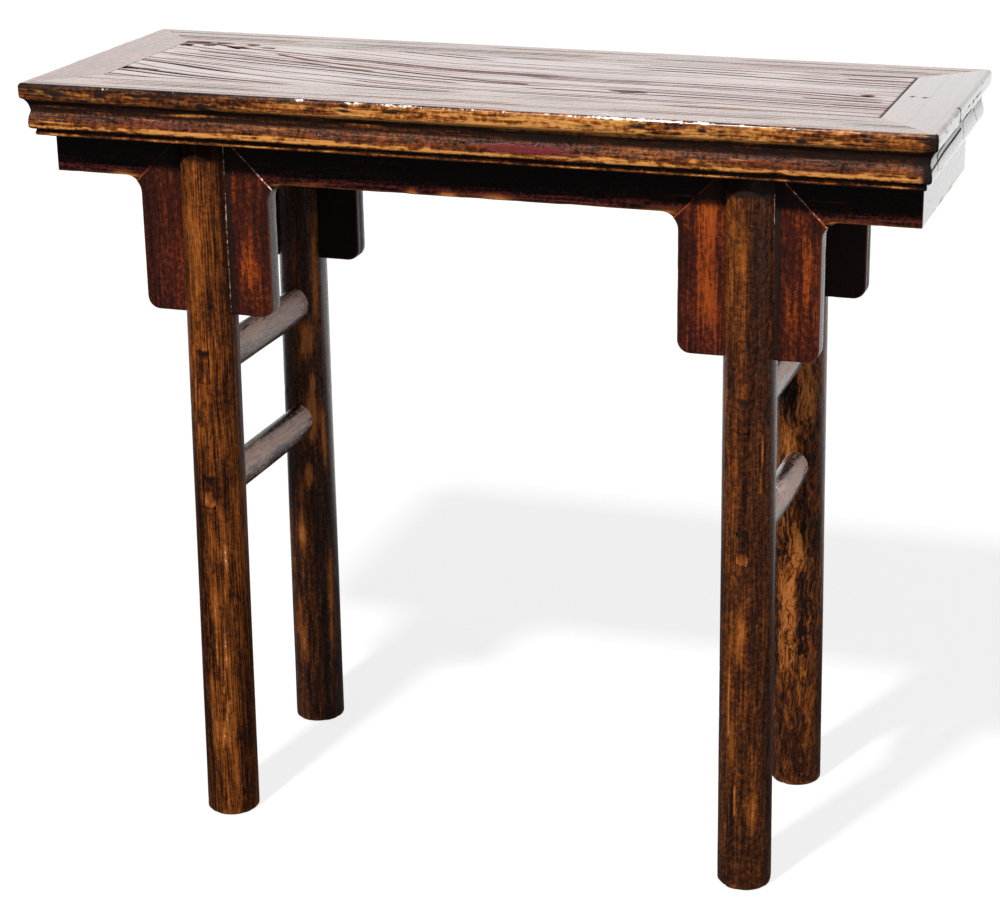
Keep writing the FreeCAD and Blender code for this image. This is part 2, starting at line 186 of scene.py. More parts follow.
class FinishColours(bpy.types.PropertyGroup):
    """Colours of the bare wood and of the old lacquer."""

    gold: colour("Worn gold", (0.56, 0.245, 0.06), "Wood where wear has cut through the lacquer")
    amber: colour("Amber", (0.22, 0.06, 0.009), "Wood under thin lacquer")
    brown: colour("Brown", (0.06, 0.017, 0.006), "Brown lacquer")
    # Dark is also the colour of painted shade: the frame's and the legs' painted shadows, the stretchers'
    # undersides and the back spandrels.
    dark: colour("Dark", (0.011, 0.0048, 0.0035), "Dark lacquer and old dirt")
    red: colour("Red", (0.13, 0.018, 0.019), "Crimson lacquer")
    red_brown: colour("Red brown", (0.05, 0.0095, 0.005), "Reddish lacquer of the spandrels")
    red_amber: colour("Red amber", (0.3, 0.055, 0.007), "Wood under the thin reddish lacquer")
    orange: colour("Orange", (0.43, 0.14, 0.032), "Worn wood of the legs")
    # Grey wood serves for the stretchers' rubbed wood and for their painted highlight.
    grey_wood: colour("Grey wood", (0.72, 0.49, 0.41), "Rubbed wood of the stretchers")
    grey_dark: colour("Dark grey wood", (0.09, 0.045, 0.033), "Darker wood of the stretchers")
    # Pale also gives painted highlights along the spandrels' mitres, the front legs' slot edges and the
    # front top arris.
    pale: colour("Pale", (0.8, 0.76, 0.7), "Chips down to the ground coat")
    panel_light: colour("Panel light", (0.235, 0.12, 0.1), "Panel between the grain lines")
    panel_dark: colour("Panel dark", (0.03, 0.012, 0.009), "Panel in the grain lines")
    bare: colour("Bare wood", (0.2, 0.12, 0.07), "Unfinished wood under the table")


class StageSettings(bpy.types.PropertyGroup):
    """Floor, lamps and surroundings."""

    key_power: power("Key lamp", 225, "Power of the main lamp")
    key_size: length("Key size", 0.3, "Side of the main lamp")
    fill_power: power("Fill lamp", 45, "Power of the lamp at the right")
    fill_size: length("Fill size", 2.2, "Side of the lamp at the right")
    room_light: amount("Room light", 0.17, "Strength of the even light from all round")
    floor: colour("Floor", (0.8, 0.8, 0.8), "Colour of the floor")


GROUPS = {
    "altar_edge": EdgeSizes,
    "altar_panel": PanelSizes,
    "altar_leg": LegSizes,
    "altar_wing": WingSizes,
    "altar_stretcher": StretcherSizes,
    "altar_colours": FinishColours,
    "altar_stage": StageSettings,
}


def sizes(name):
    """One of the scene's property groups."""
    return getattr(bpy.context.scene, name)


# Numbers and noise


def cloud(points, lump, seed):
    """Smooth random values from -1 to 1 at points, in lumps of the given size along each axis."""
    table = np.random.default_rng(seed).uniform(-1, 1, 8192)
    place = points / np.asarray(lump)
    cell = np.floor(place).astype(np.int64)
    part = place - cell
    part = part * part * (3 - 2 * part)
    total = np.zeros(len(points))
    for corner in np.ndindex(*(2,) * points.shape[1]):
        key = (cell + corner) @ np.array([7919, 104729, 1299709])[: points.shape[1]]
        total += table[key % len(table)] * np.prod(np.where(corner, part, 1 - part), axis=1)
    return total


def bell(value, middle, spread):
    """A soft peak of 1 at the middle."""
    return np.exp(-(((value - middle) / spread) ** 2))


def ramp(value, low, high):
    """0 below low, 1 above high, and a smooth rise between."""
    share = np.clip((value - low) / (high - low), 0, 1)
    return share * share * (3 - 2 * share)


def spaced(start, end, step):
    """Even values from start to end, no further apart than step."""
    return np.linspace(start, end, max(1, math.ceil(abs(end - start) / step - 1e-6)) + 1)


def near_path(x, y, path, width):
    """1 on a path of (x, y) points and falling to 0 within a few widths of it."""
    nearest = np.full(x.shape, np.inf)
    for (x0, y0), (x1, y1) in zip(path, path[1:]):
        along = ((x - x0) * (x1 - x0) + (y - y0) * (y1 - y0)) / ((x1 - x0) ** 2 + (y1 - y0) ** 2)
        along = np.clip(along, 0, 1)
        gap = np.hypot(x - x0 - along * (x1 - x0), y - y0 - along * (y1 - y0))
        nearest = np.minimum(nearest, gap)
    return np.exp(-((nearest / width) ** 2))


# Meshes


def grid_faces(rows, columns, closed=True):
    """Quads between rows of points, and from the last column to the first if closed."""
    across = columns if closed else columns - 1
    row, column = np.meshgrid(np.arange(rows - 1), np.arange(across), indexing="ij")
    after = (column + 1) % columns
    quads = [row * columns + column, row * columns + after]
    quads += [(row + 1) * columns + after, (row + 1) * columns + column]
    return np.stack([part.ravel() for part in quads], axis=1)


def make_mesh(name, points, faces):
    """A mesh whose faces look outwards, smooth but for its hard edges."""
    mesh = bpy.data.meshes.new(name)
    mesh.from_pydata(np.asarray(points).tolist(), [], faces)
    work = opened(mesh)
    bmesh.ops.recalc_face_normals(work, faces=work.faces)
    put_back(work, mesh)
    return mesh


def opened(mesh):
    """A mesh opened for work on its faces."""
    work = bmesh.new()
    work.from_mesh(mesh)
    return work


def put_back(work, mesh):
    """Puts the finished work back into its mesh."""
    work.to_mesh(mesh)
    work.free()
    finish_mesh(mesh)


def finish_mesh(mesh):
    """Smooth shading with the hard edges kept."""
    mesh.shade_smooth()
    mesh.set_sharp_from_angle(angle=math.radians(38))


def loft(rings):
    """Points and faces of closed rings of equal length, one after the other, capped at both ends."""
    count, columns = len(rings), len(rings[0])
    faces = grid_faces(count, columns).tolist()
    faces.append(list(range(columns)))
    faces.append(list(range((count - 1) * columns, count * columns)))
    return np.concatenate(rings), faces


def points_of(mesh):
    """The mesh's points as an array."""
    points = np.empty(len(mesh.vertices) * 3)
    mesh.vertices.foreach_get("co", points)
    return points.reshape(-1, 3)


def store(mesh, name, values):
    """Stores a number for each point of a mesh."""
    mesh.attributes.new(name, "FLOAT", "POINT").data.foreach_set("value", values)


def paint(mesh, worn=0, red=0, dirt_and_shade=0, pale=0, calm=0):
    """Stores how worn and red each point is, its dirt and painted shade, its chips and painted highlights,
    and how even it is, for the finish to read.
    """
    layer = mesh.color_attributes.new("finish", "FLOAT_COLOR", "POINT")
    values = np.empty((len(mesh.vertices), 4))
    for column, value in enumerate((worn, red, dirt_and_shade, pale)):
        values[:, column] = np.clip(value, 0, 1)
    layer.data.foreach_set("color", values.ravel())
    store(mesh, "calm", np.zeros(len(mesh.vertices)) + calm)


def placed(name, data):
    """A new object in the scene."""
    made = bpy.data.objects.new(name, data)
    bpy.context.scene.collection.objects.link(made)
    return made


def add_piece(mesh, part, finish):
    """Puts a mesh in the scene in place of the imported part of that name, in the finish of that name."""
    piece = placed("worn_" + part, mesh)
    mesh.materials.append(material_named(finish))
    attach(piece, "root")
    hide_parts(part)


def turned(points, turns):
    """Points turned about the table's middle by quarter turns."""
    for _ in range(turns):
        points = np.stack([-points[:, 1], points[:, 0], points[:, 2]], axis=1)
    return points


def mirror(mesh, x_sign, y_sign):
    """Mirrors a mesh across the middle planes, with its faces still looking outwards."""
    mesh.transform(Matrix.Diagonal((x_sign, y_sign, 1, 1)))
    if x_sign * y_sign < 0:
        mesh.flip_normals()


# Finish


class Value:
    """A number or a colour in a material, which plain sums turn into math nodes."""

    def __init__(self, socket):
        """Wraps the output that gives the value."""
        self.socket = socket
        self.tree = socket.id_data

    def __add__(self, other):
        """This value and another."""
        return maths(self.tree, "ADD", self, other)

    def __sub__(self, other):
        """This value less another."""
        return maths(self.tree, "SUBTRACT", self, other)

    def __rsub__(self, other):
        """A plain number less this value."""
        return maths(self.tree, "SUBTRACT", other, self)

    def __mul__(self, other):
        """This value times another."""
        return maths(self.tree, "MULTIPLY", self, other)

    def clamped(self):
        """This value held between 0 and 1."""
        self.socket.node.use_clamp = True
        return self


def fill(made, sockets):
    """Fills a node's inputs, or links them."""
    for key, value in sockets.items():
        value = value.socket if isinstance(value, Value) else value
        if isinstance(value, bpy.types.NodeSocket):
            made.id_data.links.new(value, made.inputs[key])
        else:
            made.inputs[key].default_value = value


def node(tree, kind, sockets=None, **settings):
    """Adds a shader node with its settings and its inputs."""
    made = tree.nodes.new("ShaderNode" + kind)
    for key, value in settings.items():
        setattr(made, key, value)
    fill(made, sockets or {})
    return made


def values(made):
    """All the outputs of a node as values."""
    return [Value(socket) for socket in made.outputs]


def attribute(tree, name):
    """A number that the mesh stores for each point."""
    return Value(node(tree, "Attribute", attribute_name=name).outputs["Fac"])


def maths(tree, operation, first, second):
    """The result of a sum on two values."""
    return values(node(tree, "Math", {0: first, 1: second}, operation=operation))[0]


def vectors(tree, operation, first, second):
    """The result of a sum on two places or directions."""
    return values(node(tree, "VectorMath", {0: first, 1: second}, operation=operation))[0]


def blend(share, first, second):
    """A colour between two, by a share."""
    return Value(node(share.tree, "Mix", {0: share, 6: first, 7: second}, data_type="RGBA").outputs[2])


def stretch(value, low, high, new_low=0.0, new_high=1.0):
    """A value moved from one range to another, clamped and eased."""
    sockets = {0: value, 1: low, 2: high, 3: new_low, 4: new_high}
    return values(node(value.tree, "MapRange", sockets, interpolation_type="SMOOTHSTEP"))[0]


def noise(place, scale, detail, roughness):
    """An even noise from 0 to 1."""
    sockets = {"Vector": place, "Scale": scale, "Detail": detail, "Roughness": roughness}
    return Value(node(place.tree, "TexNoise", sockets).outputs["Fac"])


def relief(height, strength, distance):
    """A surface normal tilted by a height."""
    sockets = {"Strength": strength, "Distance": distance, "Height": height}
    return values(node(height.tree, "Bump", sockets))[0]


def new_group(name, inputs, outputs):
    """An empty shader group with its named sockets, the values given to it and its output node."""
    tree = bpy.data.node_groups.new(name, "ShaderNodeTree")
    for key, default in inputs.items():
        kind = {1: "Float", 3: "Vector", 4: "Color"}[np.size(default)]
        socket = tree.interface.new_socket(key, in_out="INPUT", socket_type="NodeSocket" + kind)
        socket.default_value = default
    for key in outputs:
        kind = "Color" if key == "Color" else "Float"
        tree.interface.new_socket(key, in_out="OUTPUT", socket_type="NodeSocket" + kind)
    given = tree.nodes.new("NodeGroupInput")
    return tree, {key: Value(given.outputs[key]) for key in inputs}, tree.nodes.new("NodeGroupOutput")


GRAIN_INPUTS = {"Squeeze": (1, 1, 0.05), "Waviness": 0.004, "Wave Scale": 9.0, "Coarseness": 1.0}
LACQUER_INPUTS = {
    **GRAIN_INPUTS, "Tone": 0.3, "Streaks": 0.5, "Scuffing": 0.2, "Pore Depth": 0.7, "Gloss": 0.28,
    "Worn Colour": (0.4, 0.2, 0.05, 1), "Thin Colour": (0.2, 0.06, 0.01, 1),
    "Lacquer Colour": (0.06, 0.02, 0.01, 1), "Dark Colour": (0.01, 0.005, 0.004, 1),
    "Red Colour": (0.2, 0.02, 0.02, 1), "Pale Colour": (0.8, 0.75, 0.7, 1),
}


def grain_group():
    """Streaks that run along the grain, fine and broad, short open pores, and scuffs across it."""
    tree, given, out = new_group("Wood grain", GRAIN_INPUTS, ("Fine", "Broad", "Pores", "Scuffs"))
    flow = node(tree, "CombineXYZ", {1: attribute(tree, "sway")}).outputs[0]
    place = vectors(tree, "ADD", node(tree, "TexCoord").outputs["Object"], flow)
    waves = node(tree, "TexNoise", {"Vector": place, "Scale": given["Wave Scale"], "Detail": 2.0})
    centred = vectors(tree, "SUBTRACT", waves.outputs["Color"], (0.5, 0.5, 0.5))
    moved = vectors(tree, "ADD", place, vectors(tree, "MULTIPLY", centred, given["Waviness"]))
    along = vectors(tree, "MULTIPLY", moved, given["Squeeze"])
    for name, scale, detail in (("Fine", 420.0, 6.0), ("Broad", 75.0, 4.0), ("Pores", 1000.0, 3.0)):
        finer = maths(tree, "DIVIDE", scale, given["Coarseness"])
        fill(out, {name: stretch(noise(along, finer, detail, 0.62), 0.25, 0.75)})
    fill(out, {"Scuffs": stretch(noise(place, 210.0, 7.0, 0.72), 0.3, 0.7)})
    return tree


def painted(tree):
    """How worn and red the mesh says that a point is, with its dirt and painted shade and its chips and
    painted highlights.
    """
    marks = node(tree, "Attribute", attribute_name="finish")
    split = node(tree, "SeparateColor", {0: marks.outputs["Color"]})
    return values(split) + [Value(marks.outputs["Alpha"])]


def lacquer_group(grain):
    """Old lacquer over wood, from dark film to bared wood: its colour, roughness, coat and relief."""
    tree, given, out = new_group("Old lacquer", LACQUER_INPUTS, ("Color", "Roughness", "Coat", "Height"))
    streaks = node(tree, "Group", node_tree=grain)
    fill(streaks, {key: given[key] for key in GRAIN_INPUTS})
    fine, broad, pores, scuffs = values(streaks)
    worn, red, dirt_and_shade, chips = painted(tree)
    lively = 1 - attribute(tree, "calm")
    swing = fine - 0.5 + (broad - 0.5) * 0.8 - (pores - 0.5) * 0.6
    scuffed = (scuffs - 0.5) * given["Scuffing"] * lively
    level = swing * (given["Streaks"] * lively) + scuffed + given["Tone"] + worn * 0.75

    bared = stretch(level, 0.55, 1.0)
    reddened = red * 1.2 + (scuffs - 0.5) * 0.5 + (fine - 0.5) * 0.5
    open_pores = stretch(pores, 0.6, 0.9) * given["Pore Depth"]
    # Dirt and painted shade both darken towards the dark colour.
    grime_and_shade = dirt_and_shade + (fine - 0.5) * 0.7 * dirt_and_shade
    # The pale channel holds chips and painted highlights alike.
    chips_and_glints = stretch(chips + (scuffs - 0.5) * 0.9, 0.62, 0.78) * stretch(chips, 0.02, 0.2)
    seen = given["Dark Colour"]
    for share, key in (
        (stretch(level, 0.0, 0.3), "Lacquer"), (stretch(level, 0.25, 0.6), "Thin"), (bared, "Worn"),
        (stretch(reddened, 0.15, 0.9) * stretch(red, 0, 0.15), "Red"), (open_pores, "Dark"),
        (stretch(grime_and_shade, 0.0, 0.9), "Dark"), (chips_and_glints, "Pale"),
    ):
        seen = blend(share, seen, given[key + " Colour"])

    # Heavy dirt and painted shade alike turn rough and lose the coat.
    heavy_dirt_and_shade = stretch(dirt_and_shade, 0.55, 1.0)
    dull = given["Gloss"] + bared * 0.14 + dirt_and_shade * 0.15 + heavy_dirt_and_shade * 0.5 + (scuffs - 0.5) * 0.16 + fine * 0.1
    bare = maths(tree, "MAXIMUM", maths(tree, "MAXIMUM", bared, dirt_and_shade * 0.9), heavy_dirt_and_shade)
    height = fine * 0.6 - open_pores + scuffed * 1.5 - bared * 0.3
    fill(out, {"Color": seen, "Roughness": dull.clamped(), "Coat": (1 - bare).clamped(), "Height": height})
    return tree


# Each finish: its grain direction, and where it differs from the plain lacquer
ALONG_X = (0.045, 1.0, 1.0)
ALONG_Y = (1.0, 0.045, 1.0)
ALONG_Z = (1.0, 1.0, 0.045)
FINISHES = {
    "Long rail lacquer": dict(
        squeeze=ALONG_X, tone=0.26, streaks=0.5, scuffing=0.55, coat=0.2, gloss=0.2, pore_depth=0.5,
    ),
    "Left rail lacquer": dict(
        squeeze=ALONG_Y, tone=0.26, streaks=0.4, scuffing=0.4, coat=0.3, gloss=0.2, pore_depth=0.3,
        film=0.6,
    ),
    "Right rail lacquer": dict(
        squeeze=ALONG_Y, tone=0.12, streaks=0.2, scuffing=0.2, coat=1.0, gloss=0.1, pore_depth=0.2,
    ),
    "Apron lacquer": dict(
        squeeze=ALONG_X, tone=-0.02, streaks=0.2, scuffing=0.15, coat=0.1, gloss=0.24, pore_depth=0.3,
        depth=0.4,
    ),
    "End apron lacquer": dict(
        squeeze=ALONG_Y, tone=0.1, streaks=0.2, scuffing=0.2, coat=1.0, gloss=0.12, pore_depth=0.2,
    ),
    "Spandrel lacquer": dict(
        squeeze=ALONG_Z, tone=0.2, streaks=0.26, scuffing=0.25, coat=0.15, gloss=0.2, hue="red",
        coarseness=1.3, pore_depth=0.3,
    ),
    "Front left leg": dict(
        squeeze=(1.0, 1.0, 0.02), tone=0.29, streaks=0.6, scuffing=0.3, coat=0.05, gloss=0.26, hue="orange",
        coarseness=0.7, pore_depth=0.5, ior=1.12,
    ),
    "Front right leg": dict(
        squeeze=(1.0, 1.0, 0.025), tone=0.26, streaks=0.34, scuffing=0.35, coat=0.1, gloss=0.2,
        hue="orange", coarseness=0.9, pore_depth=0.3,
    ),
    "Back left leg": dict(
        squeeze=ALONG_Z, tone=0.16, streaks=0.4, scuffing=0.3, coat=0.5, gloss=0.22, hue="orange",
    ),
    "Back right leg": dict(
        squeeze=(1.0, 1.0, 0.12), tone=0.31, streaks=1.25, scuffing=0.3, coat=0.1, gloss=0.22,
        hue="orange", waviness=0.035, wave_scale=18.0, coarseness=1.4, film=0.1,
    ),
    "Stretcher lacquer": dict(
        squeeze=ALONG_Y, tone=0.45, streaks=0.6, scuffing=0.6, coat=0.5, gloss=0.2, hue="grey",
        pore_depth=0.5,
    ),
}
# What a finish has unless it says otherwise
PLAIN_LACQUER = dict(
    waviness=0.006, wave_scale=8.0, coarseness=1.0, pore_depth=0.6, hue="gold", depth=1.0, film=1.0,
    ior=1.3,
)


def tinted(base, factor=1.0):
    """A colour made lighter or darker, with its alpha."""
    return tuple(part * factor for part in base) + (1.0,)


def new_material(name):
    """A new material's nodes and its shader."""
    material = bpy.data.materials.new(name)
    material.use_nodes = True
    return material.node_tree, material.node_tree.nodes["Principled BSDF"]


def lacquer_material(name):
    """One of the lacquer finishes as a material."""
    look = {**PLAIN_LACQUER, **FINISHES[name]}
    hues = sizes("altar_colours")
    tree, shader = new_material(name)
    film, thin, bared = {
        "gold": (hues.brown, hues.amber, hues.gold),
        "orange": (hues.brown, hues.amber, hues.orange),
        "red": (hues.red_brown, hues.red_amber, hues.orange),
        "grey": (hues.brown, hues.grey_dark, hues.grey_wood),
    }[look["hue"]]
    made = node(tree, "Group", node_tree=bpy.data.node_groups["Old lacquer"])
    for key, value in look.items():
        socket = key.replace("_", " ").title()
        if socket in LACQUER_INPUTS:
            fill(made, {socket: value})
    colours = {"Worn": bared, "Thin": thin, "Lacquer": film, "Red": hues.red, "Pale": hues.pale}
    fill(made, {key + " Colour": tinted(value) for key, value in colours.items()})
    fill(made, {"Dark Colour": tinted(hues.dark, look["depth"])})
    seen, dull, coat, height = values(made)
    fill(shader, {
        "Base Color": seen, "Roughness": dull, "Normal": relief(height, 0.5, 0.0004),
        "Coat Weight": coat * stretch(attribute(tree, "calm"), 0, 1, look["coat"], look["film"]),
        "Coat Roughness": 0.1, "IOR": look["ior"],
    })


def panel_material(name):
    """The panel: weathered open grain, darker in the lines, under a thin glossy film."""
    hues = sizes("altar_colours")
    tree, shader = new_material(name)
    streaks = node(tree, "Group", node_tree=bpy.data.node_groups["Wood grain"])
    fill(streaks, {
        "Squeeze": (0.03, 1.0, 1.0), "Waviness": 0.006, "Wave Scale": 5.0, "Coarseness": 0.8,
    })
    fine, broad = values(streaks)[:2]
    worn, _, dirt_and_shade, _ = painted(tree)
    body = blend(broad, tinted(hues.panel_light, 0.8), tinted(hues.panel_light, 1.08))
    body = blend(worn * 0.6, body, tinted(hues.amber, 1.6))
    body = blend(stretch(fine, 0.5, 0.95) * 0.4, body, tinted(hues.panel_dark))
    body = blend(dirt_and_shade, body, tinted(hues.dark, 0.6))
    fill(shader, {
        "Base Color": body, "Roughness": fine * 0.1 + 0.18 + dirt_and_shade * 0.6,
        "Coat Weight": (1 - dirt_and_shade * 1.3).clamped(), "Coat Roughness": 0.14, "IOR": 1.2,
        "Normal": relief(1 - fine, 0.35, 0.0003),
    })


def bare_material(name):
    """Unfinished wood, darkened by age, under the table."""
    hues = sizes("altar_colours")
    tree, shader = new_material(name)
    streaks = node(tree, "Group", {"Squeeze": ALONG_Y}, node_tree=bpy.data.node_groups["Wood grain"])
    fine, broad, pores, _ = values(streaks)
    body = blend(broad, tinted(hues.bare, 0.45), tinted(hues.bare))
    fill(shader, {
        "Base Color": blend(pores * 0.5, body, tinted(hues.dark)),
        "Roughness": stretch(fine, 0, 1, 0.6, 0.8), "Normal": relief(fine, 0.6, 0.0005),
    })


def material_named(name):
    """A finish by its name, made with its groups when it is first asked for."""
    if name not in bpy.data.materials:
        if "Wood grain" not in bpy.data.node_groups:
            lacquer_group(grain_group())
        special = {"Panel lacquer": panel_material, "Bare brace wood": bare_material}
        special.get(name, lacquer_material)(name)
    return bpy.data.materials[name]


# Moulded frame

# Distance between the open grain lines on the rails
RAIL_GRAIN = 0.0072


def bowed(start, end, bow, step):
    """Points from start to just before end, on a curve that stands off the chord by bow."""
    start, end = np.array(start), np.array(end)
    chord = end - start
    reach = math.hypot(*chord)
    share = np.linspace(0, 1, max(1, math.ceil(reach / step - 1e-6)) + 1)[:-1, None]
    side = np.array([-chord[1], chord[0]]) / reach
    return start + chord * share + side * (4 * bow * share * (1 - share))


def rail_section(top_step):
    """A rail's section as a closed loop of (inset, drop), with the moulded edge finely spaced."""
    edge = sizes("altar_edge")
    thickness = TOP - FRAME_LOW
    panel_thickness = TOP - PANEL_LOW
    cove_low = edge.band_height + edge.cove_height
    swell_low = cove_low + edge.swell_height
    turn_low = swell_low + edge.turn_height
    quirk_low = turn_low + edge.quirk_height
    groove_bottom = edge.member_width - edge.tongue_length - MM
    groove_top = panel_thickness - edge.tongue_thickness
    fine, plain = 0.9 * MM, 10 * MM
    steps = [
        ((edge.top_round, 0), 0, top_step),
        ((0, edge.top_round), ROUND_SHARE * edge.top_round, fine),
        ((0, edge.band_height - edge.band_round), 0, fine),
        ((edge.band_round, edge.band_height), ROUND_SHARE * edge.band_round, fine),
        ((edge.cove_in, cove_low), -edge.cove_bow, fine),
        ((edge.swell_low_in, swell_low), edge.swell_bow, fine),
        ((edge.turn_in, turn_low), edge.turn_bow, fine),
        ((edge.quirk_in, turn_low), 0, fine),
        ((edge.quirk_in, quirk_low), 0, fine),
        ((edge.bead_low_in, thickness), edge.bead_bow, fine),
        ((RAIL_DEPTH, thickness), 0, plain),
        ((RAIL_DEPTH, panel_thickness), 0, plain),
        ((groove_bottom, panel_thickness), 0, plain),
        ((groove_bottom, groove_top), 0, plain),
        ((edge.member_width, groove_top), 0, plain),
        ((edge.member_width, 0), 0, plain),
    ]
    start = (edge.member_width, 0)
    parts = []
    for end, bow, step in steps:
        parts.append(bowed(start, end, bow, step))
        start = end
    return soften(np.concatenate(parts), edge.top_round, RAIL_DEPTH - 5 * MM)


def soften(loop, drop_from, inset_to):
    """The loop with the arrises of its moulded edge rounded by wear."""
    moulded = (loop[:, 1] > drop_from * 0.2) & (loop[:, 0] < inset_to * 0.3)
    for _ in range(2):
        eased = (np.roll(loop, 1, axis=0) + 2 * loop + np.roll(loop, -1, axis=0)) / 4
        loop = np.where(moulded[:, None], eased, loop)
    return loop


def loop_normals(loop):
    """Outward directions round a section, and how sharply it turns outwards at each point."""
    before, after = loop - np.roll(loop, 1, axis=0), np.roll(loop, -1, axis=0) - loop
    before /= np.linalg.norm(before, axis=1)[:, None]
    after /= np.linalg.norm(after, axis=1)[:, None]
    travel = before + after
    travel /= np.linalg.norm(travel, axis=1)[:, None]
    turn = before[:, 1] * after[:, 0] - before[:, 0] * after[:, 1]
    return np.stack([-travel[:, 1], travel[:, 0]], axis=1), np.maximum(turn, 0)


def rail_stations(half):
    """Shares of the half length from end to end, closer together near the mitres."""
    ends = np.array([0, 0.5, 1, 1.6, 2.4, 3.4, 4.6, 6, 8, 10.5]) * MM
    middle = spaced(-(half - 14 * MM), half - 14 * MM, 3.2 * MM)
    places = np.concatenate([-(half - ends), middle, (half - ends)[::-1]])
    return places / half


def rail_mesh(half, reach, seed, top_step, relief):
    """A moulded rail whose edge faces -Y, with worn arrises, mitred at both ends."""
    edge = sizes("altar_edge")
    loop = rail_section(top_step)
    outward, turn = loop_normals(loop)
    stations = rail_stations(half)
    share = np.repeat(stations, len(loop))
    inset, drop = np.tile(loop[:, 0], len(stations)), np.tile(loop[:, 1], len(stations))
    x = share * (half - inset)
    spread = np.convolve(np.tile(turn, 3), [0.2, 0.6, 1, 0.6, 0.2], "same")[len(turn):-len(turn)]
    soft = np.tile(spread, len(stations))
    place = np.stack([x, drop * 2, inset * 2], axis=1)
    shown = (inset < RAIL_DEPTH * 0.3) | (drop < MM)
    wear = np.clip(soft, 0, 1) * (0.35 + 0.65 * np.maximum(cloud(place, (0.03, 0.02, 0.02), seed), 0))
    nick = np.maximum(cloud(place, (0.006, 0.004, 0.004), seed + 1) - 0.55, 0) * 2
    wander = 0.25 * cloud(place, (0.06, 0.012, 0.012), seed + 2)
    depth = edge.wear_depth * shown * (wear * (1 + 1.6 * nick) + 0.3 * np.maximum(wander, 0))
    top_face = (drop < 0.4 * MM) & (inset > edge.top_round)
    lines = grain_lines(x, inset, RAIL_GRAIN, seed + 3)
    depth = np.where(top_face, relief * lines, depth)
    corner = edge.corner_round
    from_corner = (1 - np.abs(share)) * half + corner * ROUND_SHARE
    reach_in = np.clip(corner - from_corner, 0, corner)
    rounding = corner - np.sqrt(corner**2 - reach_in**2)
    ragged = 1 + 0.5 * cloud(np.stack([drop, inset], axis=1), (0.004, 0.01), seed + 4)
    moulded = (inset < RAIL_DEPTH * 0.3) & (drop > 0)
    inset = inset - np.tile(outward[:, 0], len(stations)) * depth + rounding * ragged * moulded
    drop = drop - np.tile(outward[:, 1], len(stations)) * depth
    points = np.stack([share * (half - inset), inset - reach, TOP - drop], axis=1)
    faces = grid_faces(len(stations), len(loop)).tolist()
    last = (len(stations) - 1) * len(loop)
    faces += [list(range(len(loop))), list(range(last, last + len(loop)))]
    place = dict(x=x, drop=drop, inset=inset, lines=lines, top=top_face, corner=rounding > 0.1 * MM)
    return points, faces, place


def line_shapes(cell, spacing, seed):
    """Where each grain line's middle is, how strong the line is, and half its width."""
    rng = np.random.default_rng(seed)
    shift, chance = rng.uniform(0.2, 0.8, 512)[cell % 512], rng.uniform(0, 1, 512)[cell % 512]
    strength = 0.2 + 0.8 * chance**1.6
    return (cell + shift) * spacing, strength, spacing * (0.05 + 0.11 * strength)


def grain_lines(along, across, spacing, seed):
    """Thin open lines along the grain, from 0 to 1, one to a spacing and broken here and there."""
    cell = np.floor(across / spacing).astype(int)
    middle, strength, width = line_shapes(cell, spacing, seed)
    breaks = cloud(np.stack([along, cell * 1.0], axis=1), (0.09, 0.9), seed + 1)
    return strength * np.exp(-(((across - middle) / width) ** 2)) * ramp(breaks, -0.6, 0.2)


# Painted places on the front of the frame, as (middle along the table, half length, strength)
GOLD_PLACES = (
    (-0.43, 0.03, 0.12), (-0.3, 0.04, 0.1), (-0.2, 0.03, 0.35), (-0.1, 0.05, 0.4), (0.0, 0.05, 0.6),
    (0.09, 0.05, 0.65), (0.18, 0.05, 0.55), (0.26, 0.03, 0.4), (0.32, 0.025, 0.45), (0.4, 0.03, 0.45),
    (0.46, 0.02, 0.4),
)
RED_PLACES = ((-0.36, 0.05, 0.2), (-0.12, 0.04, 0.15), (0.08, 0.05, 0.8), (0.3, 0.04, 0.1))
# Pale places on the top front arris: small chips, and longer stretches that are a painted highlight line.
CHIP_AND_HIGHLIGHT_PLACES = (
    (-0.39, 0.006, 0.5), (-0.31, 0.005, 0.6), (-0.245, 0.006, 0.5), (-0.167, 0.008, 1.0),
    (-0.112, 0.012, 0.8), (-0.03, 0.03, 0.45), (0.055, 0.006, 0.7), (0.1, 0.03, 0.6), (0.16, 0.03, 1.0),
    (0.21, 0.03, 1.0), (0.26, 0.02, 0.9), (0.303, 0.006, 1.0), (0.352, 0.006, 0.9),
    (-0.07, 0.03, 0.6), (0.01, 0.02, 0.6),
)
# Where the parts of the moulded edge lie below the top
BAND, BAND_ARRIS, SWELL, CREST, GROOVE, BEAD = 0.0108, 0.0168, 0.0385, 0.0468, 0.0516, 0.0557
# Nicks on the right end rail, as (place along the rail, inset)
NICKS = ((0.003, 0.0435), (0.005, 0.0565), (-0.039, 0.002))
# Edges of the two through tenons and a split on the right end rail, as (place along the rail, drop)
TENON_OUTLINES = (
    ((-0.134, 0.043), (-0.126, 0.032), (-0.112, 0.0275), (-0.088, 0.0265)),
    ((0.026, 0.045), (0.034, 0.031), (0.046, 0.0275), (0.09, 0.0265)),
    ((0.108, 0.03), (0.114, 0.044)),
    ((-0.165, 0.037), (-0.09, 0.0345), (0.02, 0.0335)),
)


def along_places(x, places):
    """How strong the painted places are at each point along the table."""
    return sum(strength * bell(x, middle, reach) for middle, reach, strength in places)


